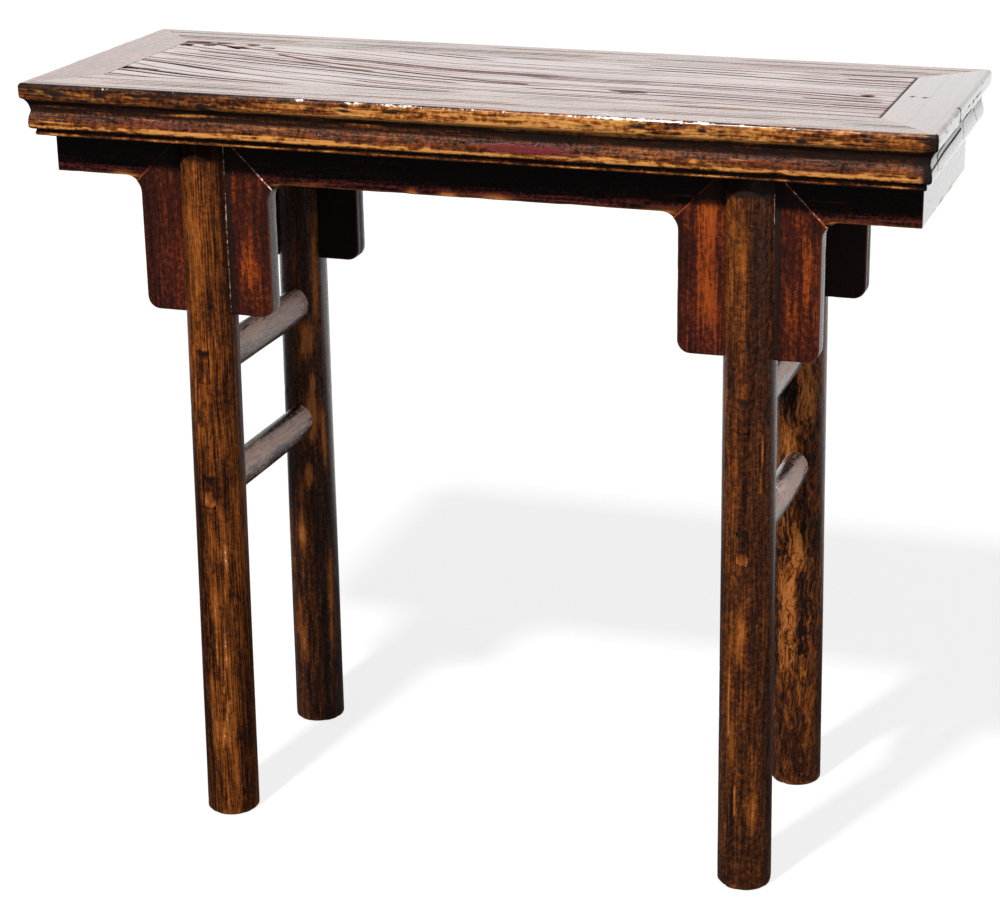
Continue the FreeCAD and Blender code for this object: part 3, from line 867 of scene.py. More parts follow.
def paint_rail(mesh, place, seed, name):
    """Wear on the arrises and the band, the cove and the groove painted darker, red on the swell."""
    front = name == "front_long_rail"
    x, drop, inset = place["x"], place["drop"], place["inset"]
    points = np.stack([x, drop, inset], axis=1)
    patch = cloud(points, (0.045, 0.008, 0.03), seed + 10)
    mottle = cloud(points, (0.009, 0.004, 0.02), seed + 11)
    streak = cloud(points, (0.05, 0.0016, 0.02), seed + 12)
    blotch = cloud(points, (0.018, 0.007, 0.02), seed + 13)
    long_streak = cloud(points, (0.07, 0.0032, 0.03), seed + 14)
    edge = inset < RAIL_DEPTH * 0.3
    gold = along_places(x, GOLD_PLACES) if front else 0.25 + 0.2 * patch
    streaky = ramp(streak + 0.6 * long_streak, -0.1, 0.4)
    band = bell(drop, BAND, 0.0085) * (0.05 + gold + 0.3 * mottle + 0.45 * streaky + 0.3 * blotch)
    arris = bell(drop, BAND_ARRIS, 0.0014) * (0.6 + gold + 0.4 * long_streak)
    arris += 0.5 * bell(drop, 0.003, 0.002) * (0.2 + mottle + gold)
    ragged = cloud(points[:, :2], (0.011, 0.004), seed + 15)
    ragged += 0.6 * cloud(points[:, :2], (0.004, 0.004), seed + 16)
    crest = bell(drop + 1.4 * MM * np.maximum(ragged, -0.3), CREST, 0.0016)
    crest *= 1.15 + 0.5 * patch + 0.9 * streak + 1.2 * np.minimum(mottle + 0.2, 0)
    crest += bell(drop, 0.0435, 0.0024) * np.maximum(streak + 0.6 * mottle - 0.1, 0) * 1.4
    bead = bell(drop, BEAD, 0.0014) * (0.35 + 0.5 * patch + 0.5 * mottle)
    hollow = ramp(drop, 0.019, 0.021) * ramp(-drop, -0.0445, -0.042)
    stray = hollow * np.maximum(1.2 * streak + 0.4 * long_streak - 0.6, 0) * 1.6
    worn = edge * (band + arris + crest + bead + stray)
    red = edge * bell(drop, SWELL, 0.006) * (0.14 + 0.2 * patch)
    if front:
        red += edge * bell(drop, 0.039, 0.005) * along_places(x, RED_PLACES)
    # The cove and the groove are painted darker, and the faces below the bead dark.
    cove = ramp(drop, 0.0182, 0.0195) * ramp(-drop, -0.0365, -0.0285)
    dirt_and_shade = edge * 0.75 * cove * (1 - np.maximum(streak, 0))
    dirt_and_shade += edge * bell(drop, GROOVE, 0.0014) + (drop > 0.0575) * 0.8
    dirt_and_shade += place["corner"] * edge * (0.5 + 0.4 * mottle)
    clouded = np.maximum(mottle + long_streak + 0.6 * blotch - gold - 0.1, 0)
    dirt_and_shade += edge * bell(drop, 0.009, 0.009) * clouded
    if front:
        olive = 1 - ramp(x, -0.28, -0.12)
        dirt_and_shade += edge * bell(drop, 0.0015, 0.0014) * (0.5 * olive + 0.4 * np.maximum(blotch, 0))
        dirt_and_shade += edge * bell(drop, 0.009, 0.008) * olive * (0.2 + 0.3 * np.maximum(blotch, 0))
        dirt_and_shade += edge * bell(x + inset, HALF_LENGTH, 0.0085) * (1.5 + 0.8 * mottle)
    if name == "right_end_rail":
        dirt_and_shade += edge * bell(x - inset, -HALF_WIDTH, 0.004) * (1.2 + 0.6 * mottle)
        worn = worn * 0.5
        for outline in TENON_OUTLINES:
            dirt_and_shade += edge * 1.6 * near_path(x, drop, outline, 1.2 * MM)
    top = place["top"]
    dirt_and_shade = np.where(top, 1.3 * place["lines"] * (1 if "long" in name else 0.15), dirt_and_shade)
    if name == "right_end_rail":
        for nick_x, nick_inset in NICKS:
            dirt_and_shade += 1.8 * bell(x, nick_x, 3.2 * MM) * bell(inset, nick_inset, 2.6 * MM)
    worn = np.where(top, 0.25 + 0.1 * patch, worn)
    # Pale chips and a painted highlight along the front top arris.
    pale = bell(drop, 0.0014, 0.0014) * edge * (along_places(x, CHIP_AND_HIGHLIGHT_PLACES) if front else 0)
    paint(mesh, worn, red, dirt_and_shade, pale, calm=(0.65 if name.startswith("back") else 0.85) * top)


class ALTAR_OT_frame(bpy.types.Operator):
    """Build the four moulded rails of the top frame"""

    bl_idname = "altar.frame"
    bl_label = "Top Frame"

    def execute(self, context):
        """Makes each rail facing -Y and turns it to its side of the table."""
        rails = (
            ("front_long_rail", HALF_LENGTH, HALF_WIDTH, 0, 11),
            ("right_end_rail", HALF_WIDTH, HALF_LENGTH, 1, 22),
            ("back_long_rail", HALF_LENGTH, HALF_WIDTH, 2, 33),
            ("left_end_rail", HALF_WIDTH, HALF_LENGTH, 3, 44),
        )
        for name, half, reach, turns, seed in rails:
            long_way = half > reach
            top_step = (0.9 if long_way else 3.0) * MM
            relief = (0.45 if long_way else 0.04) * MM
            points, faces, place = rail_mesh(half, reach, seed, top_step, relief)
            mesh = make_mesh(name, turned(points, turns), faces)
            paint_rail(mesh, place, seed, name)
            finish = "Long" if long_way else name.split("_")[0].capitalize()
            add_piece(mesh, name, finish + " rail lacquer")
        return {"FINISHED"}


# Panel

# The long crack that the grain follows, and other cracks, as (x, y) points in metres
MAIN_CRACK = (
    (-0.45, 0.095), (-0.331, 0.066), (-0.25, 0.05), (-0.169, 0.036), (-0.125, 0.024), (-0.062, 0.012),
    (0.031, 0.006), (0.125, 0.003), (0.219, -0.001), (0.281, -0.006), (0.337, -0.014), (0.45, -0.02),
)
CRACKS = (
    ((-0.287, 0.052), (-0.25, 0.034), (-0.187, 0.013), (-0.112, -0.008), (-0.025, -0.028), (0.031, -0.036)),
    ((-0.384, 0.05), (-0.312, 0.033), (-0.237, 0.014), (-0.2, 0.001), (-0.15, -0.012)),
    ((-0.45, 0.1), (-0.42, 0.1), (-0.39, 0.096)),
    ((-0.46, 0.043), (-0.43, 0.042)),
    ((0.344, 0.103), (0.425, 0.104)),
    ((0.355, 0.08), (0.425, 0.08)),
    ((0.37, -0.057), (0.425, -0.06)),
    ((0.33, -0.03), (0.41, -0.034)),
    ((-0.434, -0.06), (-0.38, -0.067)),
    ((0.13, -0.046), (0.165, -0.049)),
)
CRACK_STRENGTHS = (0.9, 0.6, 1.0, 0.8, 0.8, 0.7, 0.8, 0.7, 0.9, 1.0)
# Holes and knots, as (x, y, half length, half width, depth share)
HOLES = (
    (-0.35, 0.08, 0.012, 0.0065, 1.0), (-0.418, 0.083, 0.009, 0.0065, 1.0),
    (-0.39, 0.087, 0.007, 0.004, 1.0), (-0.376, 0.1, 0.01, 0.004, 1.0),
    (-0.34, 0.099, 0.009, 0.0035, 0.9), (-0.41, -0.064, 0.02, 0.003, 0.9),
    (0.148, -0.048, 0.016, 0.004, 1.0), (0.392, -0.003, 0.007, 0.004, 1.0),
    (-0.405, 0.103, 0.014, 0.003, 1.0), (-0.426, 0.1, 0.008, 0.004, 1.0),
    (-0.315, 0.086, 0.009, 0.003, 0.8), (-0.43, 0.066, 0.006, 0.003, 0.7),
)
KNOTS = ((-0.37, 0.085, 0.05, 0.03, 0.5), (0.38, -0.005, 0.04, 0.014, 0.5), (0.15, -0.046, 0.03, 0.01, 0.4))


def grain_flow(x, y):
    """The coordinate across the panel's grain, 0 along the main crack, which sweeps round the knots."""
    path = np.array(MAIN_CRACK)
    main = sum(np.interp(x + shift, path[:, 0], path[:, 1]) for shift in (-0.03, -0.01, 0.01, 0.03)) / 4
    share = 0.45 + 0.55 * ramp(y, -0.12, -0.005)
    place = np.stack([x, y], axis=1)
    flow = y - main * share + 0.0025 * cloud(place, (0.16, 0.03), 71)
    for knot_x, knot_y, reach, width, pull in KNOTS:
        flow -= (y - knot_y) * pull * bell(x, knot_x, reach) * bell(y, knot_y, width)
    return flow


def panel_depths(x, y):
    """How deep the panel's surface lies at each point, and how much of that is an open line."""
    panel = sizes("altar_panel")
    flow = grain_flow(x, y)
    place = np.stack([x, y], axis=1)
    lines = grain_lines(x, flow, panel.grain_spacing, 72)
    width = (1.1 + 0.5 * cloud(place, (0.03, 0.05), 73)) * MM
    cracks = bell(flow, 0, width) * ramp(x, -0.34, -0.2) * ramp(-x, -0.42, -0.36)
    for path, strength in zip(CRACKS, CRACK_STRENGTHS):
        cracks = np.maximum(cracks, strength * near_path(x, y, path, 1.25 * MM))
    holes = np.zeros(x.shape)
    for hole_x, hole_y, reach, width, share in HOLES:
        ragged = 1 + 0.35 * cloud(place, (0.004, 0.003), 75)
        away = np.hypot((x - hole_x) / reach, (y - hole_y) / width) * ragged
        holes = np.maximum(holes, share * (1 - ramp(away, 0.55, 1.05)))
    hollow = np.maximum(cloud(place, (0.12, 0.05), 76), 0) * 0.3 * MM
    depth = panel.grain_depth * lines + panel.crack_depth * cracks + 1.6 * MM * holes + hollow
    shown = np.maximum.reduce([lines * 2, cracks * 2.4, holes * 2])
    return depth, np.clip(shown, 0, 1)


def flow_rows(low, high):
    """Values across the grain that need a row of points: the middle and flanks of each open line."""
    spacing = sizes("altar_panel").grain_spacing
    cells = np.arange(math.floor(low / spacing), math.ceil(high / spacing))
    middle, _, width = line_shapes(cells, spacing, 72)
    offsets = np.array([-2, -1.2, -0.6, 0, 0.6, 1.2, 2])
    rows = (middle[:, None] + width[:, None] * offsets).ravel()
    rows = np.concatenate([rows, np.arange(-4, 5) * 0.5 * MM])
    plain = np.arange(low, high, 1.0 * MM)
    nearest = np.abs(plain[:, None] - rows[None, :]).min(axis=1)
    rows = np.sort(np.concatenate([rows, plain[nearest > 0.5 * MM]]))
    return rows[np.concatenate([[True], np.diff(rows) > 0.12 * MM])]


def board_top(near, far, end):
    """The grid of a board's top, with rows along the grain that stop at its two long sides."""
    columns = spaced(-end, end, 4.2 * MM)
    across = np.arange(near - 0.1, far + 0.1, 0.4 * MM)
    flows = [grain_flow(np.full(across.shape, x), across) for x in columns]
    low = min(flow[np.searchsorted(across, near)] for flow in flows) - 5 * MM
    high = max(flow[np.searchsorted(across, far)] for flow in flows) + 5 * MM
    rows = flow_rows(low, high)
    y = np.stack([np.interp(rows, flow, across) for flow in flows], axis=1)
    x = np.broadcast_to(columns, y.shape)
    index = np.arange(y.size).reshape(y.shape)
    before, beyond = y < near + 0.15 * MM, y > far - 0.15 * MM
    y = np.where(before, near, np.where(beyond, far, y))
    index = np.where(before, index[:1], np.where(beyond, index[-1:], index))
    kept, new = np.unique(index, return_inverse=True)
    index = new.reshape(y.shape)
    a, b, c, d = index[:-1, :-1], index[:-1, 1:], index[1:, 1:], index[1:, :-1]
    left, right = a == d, b == c
    faces = np.stack([a, b, c, d], axis=-1)[~left & ~right].tolist()
    faces += np.stack([a, b, c], axis=-1)[left & ~right].tolist()
    faces += np.stack([a, b, d], axis=-1)[right & ~left].tolist()
    sides = [np.unique(index[:, column]) for column in (0, -1)]
    sides = [sorted(side, key=lambda i: y.ravel()[kept[i]]) for side in sides]
    rim = index[0].tolist() + sides[1][1:-1] + index[-1].tolist()[::-1] + sides[0][1:-1][::-1]
    return x.ravel()[kept], y.ravel()[kept], faces, [int(i) for i in rim]


def board_mesh(name, near, far, outer_near, outer_far):
    """A panel board between two lines: a finely spaced top, plain tongued sides and underside."""
    edge = sizes("altar_edge")
    end = HALF_LENGTH - edge.member_width - sizes("altar_panel").edge_gap
    x, y, faces, rim = board_top(near, far, end)
    depth, shown = panel_depths(x, y)
    side = np.minimum(np.minimum(x + end, end - x), np.minimum(y - near, far - y))
    depth += 0.1 * MM * (1 - ramp(side, 0, 1.2 * MM))
    points = [np.stack([x, y, TOP - depth], axis=1)]
    tongue_top = PANEL_LOW + edge.tongue_thickness
    reach = edge.tongue_length
    ring = points[0][rim]
    grown = ring.copy()
    grown[:, 0] += np.where(ring[:, 0] > end - MM, reach, 0) - np.where(ring[:, 0] < MM - end, reach, 0)
    grown[:, 1] += np.where(ring[:, 1] > far - MM / 20, outer_far * reach, 0)
    grown[:, 1] -= np.where(ring[:, 1] < near + MM / 20, outer_near * reach, 0)
    for source, z in ((ring, tongue_top), (grown, tongue_top), (grown, PANEL_LOW)):
        level = source.copy()
        level[:, 2] = z
        points.append(level)
    loops = [rim] + [[len(x) + k * len(rim) + i for i in range(len(rim))] for k in range(3)]
    for upper, lower in zip(loops, loops[1:]):
        for i in range(len(rim)):
            after = (i + 1) % len(rim)
            faces.append([upper[i], lower[i], lower[after], upper[after]])
    faces.append(loops[-1])
    mesh = make_mesh(name, np.concatenate(points), faces)
    dirt_and_shade = np.zeros(len(mesh.vertices))
    long_side = np.minimum(y - near, far - y)
    dirt_and_shade[: len(x)] = np.maximum(shown, 0.5 * (1 - ramp(long_side, 0, 1.5 * MM)))
    dirt_and_shade[: len(x)] += ramp(x, end - 3 * MM, end)
    worn = np.zeros(len(mesh.vertices))
    worn[: len(x)] = 0.5 * np.maximum(cloud(np.stack([x, y], axis=1), (0.09, 0.02), 77), 0)
    paint(mesh, worn=worn, dirt_and_shade=dirt_and_shade)
    sway = np.zeros(len(mesh.vertices))
    sway[: len(x)] = grain_flow(x, y) - y
    store(mesh, "sway", sway)
    return mesh


class ALTAR_OT_panel(bpy.types.Operator):
    """Build the two boards of the floating panel"""

    bl_idname = "altar.panel"
    bl_label = "Panel"

    def execute(self, context):
        """Makes the front board up to the joint and the back board behind it."""
        edge = HALF_WIDTH - sizes("altar_edge").member_width - sizes("altar_panel").edge_gap
        front = board_mesh("panel_front_board", -edge, PANEL_SPLIT, 1, 0)
        back = board_mesh("panel_back_board", PANEL_SPLIT, edge, 0, 1)
        for mesh, name in ((front, "panel_front_board"), (back, "panel_back_board")):
            add_piece(mesh, name, "Panel lacquer")
        return {"FINISHED"}


class ALTAR_OT_braces(bpy.types.Operator):
    """Give the braces under the panel their bare wood"""

    bl_idname = "altar.braces"
    bl_label = "Braces"

    def execute(self, context):
        """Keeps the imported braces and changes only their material."""
        for name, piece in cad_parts.items():
            if name.startswith("transverse_brace"):
                piece.material_slots[0].material = material_named("Bare brace wood")
        return {"FINISHED"}


# Legs

# Gap between a leg's slot and what stands in it
SLOT_GAP = 0.15 * MM
# Points round a cheek, on each side of the slot, across the flat inside of a cheek, on each flank
# of the mortise, and across it
FRONT_ARC, SIDE, CHORD, FLANK, WINDOW = 35, 12, 8, 14, 7


def leg_line(z):
    """Where the front right leg's middle is at height z, and its radius there."""
    leg = sizes("altar_leg")
    rise = z / FRAME_LOW
    foot_x, foot_y = LEG_HIGH.x - leg.foot_radius, LEG_LOW.y + leg.foot_radius
    head_x, head_y = leg_middle_x(), (WING_LOW.y + WING_HIGH.y) / 2
    radius = leg.foot_radius + (leg.top_radius - leg.foot_radius) * rise
    return foot_x + (head_x - foot_x) * rise, foot_y + (head_y - foot_y) * rise, radius


def tenon_levels():
    """Middle heights of the two stretchers."""
    half = (STRETCHER_HIGH.z - STRETCHER_LOW.z) / 2
    return STRETCHER_LOW.z + half, UPPER_STRETCHER_LOW + half


def leg_levels():
    """Heights of a leg's rings, with one at each edge of the mortises and at the slot's foot."""
    bar, leg = sizes("altar_stretcher"), sizes("altar_leg")
    keys = [leg.foot_round]
    for level in tenon_levels():
        reach = bar.tenon_height / 2 + bar.shadow_gap
        keys += [level - reach, level + reach]
    keys += [WING_LOW.z, FRAME_LOW]
    levels = []
    for low, high in zip(keys, keys[1:]):
        levels += list(spaced(low, high, 3.2 * MM)[:-1])
    return np.array(levels + [FRAME_LOW])


def leg_angles(z):
    """Angles of a ring's points, split at the slot's planes and at the mortise's sides."""
    bar = sizes("altar_stretcher")
    _, middle_y, radius = leg_line(max(z, WING_LOW.z))
    front = math.asin((WING_LOW.y - SLOT_GAP - middle_y) / radius)
    back = math.asin((WING_HIGH.y + SLOT_GAP - middle_y) / radius)
    window = math.asin((bar.tenon_thickness / 2 + bar.shadow_gap) / radius)
    quarter = math.pi / 2
    keys = [
        (-math.pi - front, -quarter - window, FLANK), (-quarter - window, window - quarter, WINDOW),
        (window - quarter, front, FLANK), (front, back, SIDE),
        (back, math.pi - back, FRONT_ARC), (math.pi - back, math.pi - front, SIDE),
    ]
    return np.concatenate([np.linspace(start, end, count + 1)[:-1] for start, end, count in keys])


def leg_surface(z_values, angle_rows, seed):
    """Points of rings round the leg, pushed in by flats, open grain and dents."""
    leg = sizes("altar_leg")
    x_mid, y_mid, radius = leg_line(np.repeat(z_values, angle_rows.shape[1]))
    z = np.repeat(z_values, angle_rows.shape[1])
    angle = angle_rows.ravel()
    flat = np.stack([np.cos(angle) * radius, np.sin(angle) * radius], axis=1)
    place = np.column_stack([flat, z])
    facets = 0.5 + 0.5 * cloud(place, (0.016, 0.016, 0.19), seed)
    grain = 0.5 + 0.5 * cloud(place, (0.0038, 0.0038, 0.07), seed + 1)
    dents = np.maximum(cloud(place, (0.008, 0.008, 0.014), seed + 2) - 0.62, 0)
    foot = np.clip(leg.foot_round - z, 0, leg.foot_round)
    rounded = leg.foot_round - np.sqrt(leg.foot_round**2 - foot**2)
    chips = np.maximum(cloud(place, (0.009, 0.009, 0.006), seed + 3), 0) * bell(z, 0, 0.008) * 1.3 * MM
    depth = leg.facet_depth * facets + leg.grain_depth * grain + 2.2 * MM * dents + rounded + chips
    shrunk = (radius - depth)[:, None] * np.stack([np.cos(angle), np.sin(angle)], axis=1)
    points = np.column_stack([x_mid + shrunk[:, 0], y_mid + shrunk[:, 1], z])
    return points.reshape(len(z_values), angle_rows.shape[1], 3)


def leg_mesh(name, seed):
    """The front right leg: a closed trunk that splits into two cheeks at the slot."""
    rounds = sizes("altar_leg").foot_round * (1 - np.cos(np.linspace(0.12, math.pi / 2, 5)[:-1]))
    levels = np.unique(np.round(np.concatenate([rounds, leg_levels()]), 7))
    angles = np.array([leg_angles(z) for z in levels])
    columns = angles.shape[1]
    rings = leg_surface(levels, angles, seed)
    slot = int(np.argmin(np.abs(levels - WING_LOW.z)))
    points = [rings[: slot + 1].reshape(-1, 3)]
    faces = grid_faces(slot + 1, columns).tolist()
    faces.append(list(range(columns)))
    start = (slot + 1) * columns
    foot_ring = slot * columns
    arcs = (
        (0, FRONT_ARC, WING_LOW.y - SLOT_GAP),
        (FRONT_ARC + SIDE, 2 * FRONT_ARC + SIDE, WING_HIGH.y + SLOT_GAP),
    )
    chords = []
    for first, last, plane in arcs:
        picked = [c % columns for c in range(first, last + 1)]
        arc = rings[slot:, picked]
        arc[:, 0, 1] = plane
        arc[:, -1, 1] = plane
        inner = chord_points(arc, plane)
        whole = np.concatenate([arc, inner], axis=1)
        span = whole.shape[1]
        above = whole[1:].reshape(-1, 3)
        foot = [foot_ring + c for c in picked] + list(range(start, start + CHORD - 1))
        points += [inner[0], above]
        base = start + CHORD - 1
        starts = [base + row * span for row in range(len(whole) - 1)]
        table = [foot] + [list(range(first_point, first_point + span)) for first_point in starts]
        for low, high in zip(table, table[1:]):
            faces += [[low[i], low[(i + 1) % span], high[(i + 1) % span], high[i]] for i in range(span)]
        faces.append(table[-1])
        chords.append(list(range(start, start + CHORD - 1)))
        start = base + (len(whole) - 1) * span
    right = [foot_ring + c for c in range(FRONT_ARC, FRONT_ARC + SIDE + 1)]
    left = [foot_ring + c % columns for c in range(2 * FRONT_ARC + SIDE, columns + 1)]
    faces.append(right + chords[1][::-1] + left + chords[0][::-1])
    return make_mesh(name, np.concatenate(points), faces)


def chord_points(arc, plane):
    """Points across the flat inside of a cheek, from the arc's end back to its start."""
    share = (np.arange(1, CHORD) / CHORD)[None, :, None]
    inner = arc[:, -1:, :] * (1 - share) + arc[:, :1, :] * share
    inner[:, :, 1] = plane
    return inner


def sink_mortises(mesh):
    """Sinks the places where the stretchers' tenons come through the front of the leg."""
    bar = sizes("altar_stretcher")
    work = opened(mesh)
    for level in tenon_levels():
        middle_x, middle_y, _ = leg_line(level)
        reach, side = bar.tenon_height / 2 + bar.shadow_gap, bar.tenon_thickness / 2 + bar.shadow_gap
        window = []
        for face in work.faces:
            middle = face.calc_center_median()
            if abs(middle.z - level) < reach and abs(middle.x - middle_x) < side and middle.y < middle_y:
                window.append(face)
        sunk = bmesh.ops.extrude_face_region(work, geom=window)["geom"]
        for item in sunk:
            if isinstance(item, bmesh.types.BMVert):
                item.co.y += 4 * MM
        bmesh.ops.delete(work, geom=window, context="FACES")
    bmesh.ops.recalc_face_normals(work, faces=work.faces)
    put_back(work, mesh)


# Worn and dark places on the legs, as (height, angle in degrees, half height, half angle, wear)
LEG_PLACES = {
    "front_left": (
        (0.66, -118, 0.12, 30, 0.16), (0.52, -100, 0.1, 26, 0.16), (0.335, -92, 0.02, 12, 0.5),
        (0.2, -100, 0.1, 22, 0.2), (0.09, -80, 0.05, 30, 0.1), (0.43, -95, 0.02, 14, -0.4),
    ),
    "front_right": (
        (0.72, -110, 0.06, 26, 0.2), (0.44, -110, 0.06, 10, 0.15), (0.68, -60, 0.1, 16, -0.4),
        (0.31, -88, 0.05, 12, 0.45), (0.23, -70, 0.04, 12, 0.35), (0.17, -112, 0.03, 10, 0.45),
        (0.42, -70, 0.06, 16, -0.4), (0.27, -60, 0.05, 14, -0.3), (0.08, -60, 0.04, 12, 0.2),
    ),
    "back_left": (
        (0.5, -63, 0.02, 12, 2.6), (0.58, -40, 0.05, 6, 2.0), (0.44, -55, 0.02, 6, 2.0),
        (0.405, -60, 0.025, 9, 2.4), (0.37, -30, 0.03, 6, 1.6), (0.33, -72, 0.012, 8, 2.0),
        (0.26, -95, 0.05, 10, 0.7), (0.16, -30, 0.05, 8, 0.9), (0.12, -100, 0.05, 12, 0.5),
    ),
    "back_right": (
        (0.6, -95, 0.06, 26, 0.6), (0.5, -75, 0.04, 24, 0.4), (0.41, -105, 0.06, 16, 0.45),
        (0.29, -78, 0.045, 36, 0.6), (0.23, -105, 0.06, 24, 0.4), (0.14, -85, 0.05, 30, 0.15),
        (0.42, -40, 0.1, 18, -0.3), (0.26, -40, 0.04, 20, -0.3), (0.34, -80, 0.015, 30, -0.5),
    ),
}
# Thin pale scratches on the front legs, as paths of (angle in degrees, height)
SCRATCHES = {
    "front_left": (
        ((-58, 0.336), (-68, 0.238), (-67, 0.2), (-76, 0.155)), ((-64, 0.145), (-86, 0.087)),
        ((-86, 0.3), (-89, 0.19)),
    ),
    "front_right": (
        ((-113, 0.327), (-117, 0.183)), ((-99, 0.124), (-100, 0.09)), ((-46, 0.52), (-52, 0.46)),
        ((-56, 0.312), (-57, 0.302)),
    ),
}


def paint_leg(mesh, place, x_sign, y_sign, seed):
    """Wear in the leg's own places and at the foot, wear and a painted highlight along the slot's edge,
    scratches, and painted shadow of the frame across the leg's top.
    """
    points = points_of(mesh)
    z = points[:, 2]
    middle_x, middle_y, _ = leg_line(z)
    across, back = points[:, 0] - middle_x * x_sign, points[:, 1] - middle_y * y_sign
    angle = np.degrees(np.arctan2(back, across))
    mottle = cloud(points, (0.012, 0.012, 0.05), seed + 5)
    fleck = cloud(points, (0.005, 0.005, 0.018), seed + 7)
    worn = 0.2 * mottle + 0.16 * fleck
    for height, facing, tall, wide, strength in LEG_PLACES[place]:
        apart = (angle - facing + 180) % 360 - 180
        spot = bell(z, height, tall) * bell(apart, 0, wide)
        worn = worn + strength * spot * (1 + 0.8 * mottle + 0.6 * fleck)
    worn += 0.25 * bell(z, 0, 0.006)
    gap = np.abs(np.abs(points[:, 1]) - (abs(WING_LOW.y) + abs(WING_HIGH.y)) / 2)
    slot_half = (WING_HIGH.y - WING_LOW.y) / 2
    slot_edge = (z > WING_LOW.z) & (np.abs(gap - slot_half) < 0.6 * MM)
    # Painted shadow of the frame, dark across the top of the leg.
    frame_shadow = ramp(z, FRAME_LOW - 23 * MM, FRAME_LOW - 16 * MM)
    dirt_and_shade = 0.4 * np.maximum(cloud(points, (0.01, 0.01, 0.08), seed + 6), 0) + 0.7 * frame_shadow
    # A painted highlight along the right edge of the slot at the front, pale and a little worn; the
    # scratches below join it.
    scratches_and_glint = slot_edge * (across > 0) * (points[:, 1] < 0)
    scratches_and_glint = scratches_and_glint * ((0.5 if place == "front_right" else 0.75) + 0.5 * mottle)
    arc = sizes("altar_leg").foot_radius
    for path in SCRATCHES.get(place, ()):
        line = [(math.radians(facing) * arc, height) for facing, height in path]
        thin = near_path(np.radians(angle) * arc, z, line, 1.1 * MM)
        worn += thin * (0.9 + 0.3 * fleck)
        scratches_and_glint = np.maximum(scratches_and_glint, thin * (0.36 + 0.2 * fleck))
    calm = 0
    if place == "back_right":
        knotty = bell(z, 0.19, 0.055) + 0.8 * bell(z, 0.32, 0.06) + 0.9 * bell(z, 0.5, 0.07)
        calm = 0.6 * (1 - np.clip(knotty * (1 - 0.7 * ramp(angle, -65, -40)), 0, 1))
    paint(
        mesh, worn=np.maximum(worn, 0) + 0.2 * slot_edge, dirt_and_shade=dirt_and_shade + np.maximum(-worn, 0), pale=scratches_and_glint,
        calm=calm,
    )


class ALTAR_OT_legs(bpy.types.Operator):
    """Build the four round legs"""

    bl_idname = "altar.legs"
    bl_label = "Legs"

    def execute(self, context):
        """Makes the front right leg with its own unevenness for each corner and mirrors it there."""
        for seed, place in enumerate(LEG_PLACES):
            row, column = place.split("_")
            y_sign, x_sign = (1 if row == "front" else -1), (1 if column == "right" else -1)
            mesh = leg_mesh("leg_" + place, 100 + 10 * seed)
            sink_mortises(mesh)
            mirror(mesh, x_sign, y_sign)
            paint_leg(mesh, place, x_sign, y_sign, 100 + 10 * seed)
            add_piece(mesh, "leg_" + place, "%s %s leg" % (row.capitalize(), column))
        return {"FINISHED"}


# Spandrels and aprons


def round_corner(centre, radius, start, end, count):
    """Points on an arc between two angles in degrees."""
    angle = np.radians(np.linspace(start, end, count))
    return np.column_stack([centre[0] + radius * np.cos(angle), centre[1] + radius * np.sin(angle)])


def leg_middle_x():
    """Where the legs' middle lines meet the frame along the table."""
    return (INNER_WING_HIGH.x + WING_LOW.x) / 2


def straight(start, end, step=4 * MM):
    """Points from start to just before end."""
    return bowed(start, end, 0, step)


def apron_low():
    """Height of the aprons' lower edge."""
    return FRAME_LOW - sizes("altar_wing").apron_height


def wing_outline(inner, lapped):
    """Outline of a spandrel in (x, z) from its hidden inner end: its lapped front, or what is behind."""
    wing = sizes("altar_wing")
    edge = leg_middle_x() + wing_reach()
    toe = wing.toe_round
    low = WING_LOW.z
    toe_arc = round_corner((edge - toe, low + toe), toe, -90, 0, 9)
    centre = (edge + wing.inner_round, apron_low() - wing.inner_round)
    corner_arc = round_corner(centre, wing.inner_round, 180, 135, 7)
    top = corner_arc[-1]
    mitre_top = (top[0] - (FRAME_LOW - top[1]), FRAME_LOW)
    up = straight(toe_arc[-1], corner_arc[0])[1:]
    parts = [straight((inner, low), toe_arc[0]), toe_arc, up, corner_arc]
    head = straight(top, mitre_top)[1:]
    roof = straight(mitre_top, (inner, FRAME_LOW), 5 * MM)
    if lapped:
        parts += [head, roof]
    else:
        count = len(head) + len(roof)
        x = np.linspace(top[0], inner, count + 2)[1:-1]
        parts.append(np.column_stack([x, np.full(count, apron_low())]))
    high = FRAME_LOW if lapped else apron_low()
    levels = np.linspace(high, low, 46)[:-1]
    parts.append(np.column_stack([np.full(len(levels), inner), levels]))
    return np.concatenate(parts)


def wing_reach():
    """How far a spandrel's side stands from the leg's middle."""
    wing = sizes("altar_wing")
    return WING_HIGH.x - leg_middle_x() - wing.inner_round * ROUND_SHARE


def shrink(outline, distance):
    """The outline moved in by a distance all round; it runs against the clock."""
    ahead = np.roll(outline, -1, axis=0) - outline
    ahead /= np.linalg.norm(ahead, axis=1)[:, None]
    side = np.column_stack([-ahead[:, 1], ahead[:, 0]])
    before = np.roll(side, 1, axis=0)
    middle = side + before
    middle /= np.maximum(np.sum(middle * side, axis=1), 0.5)[:, None]
    return outline + middle * distance


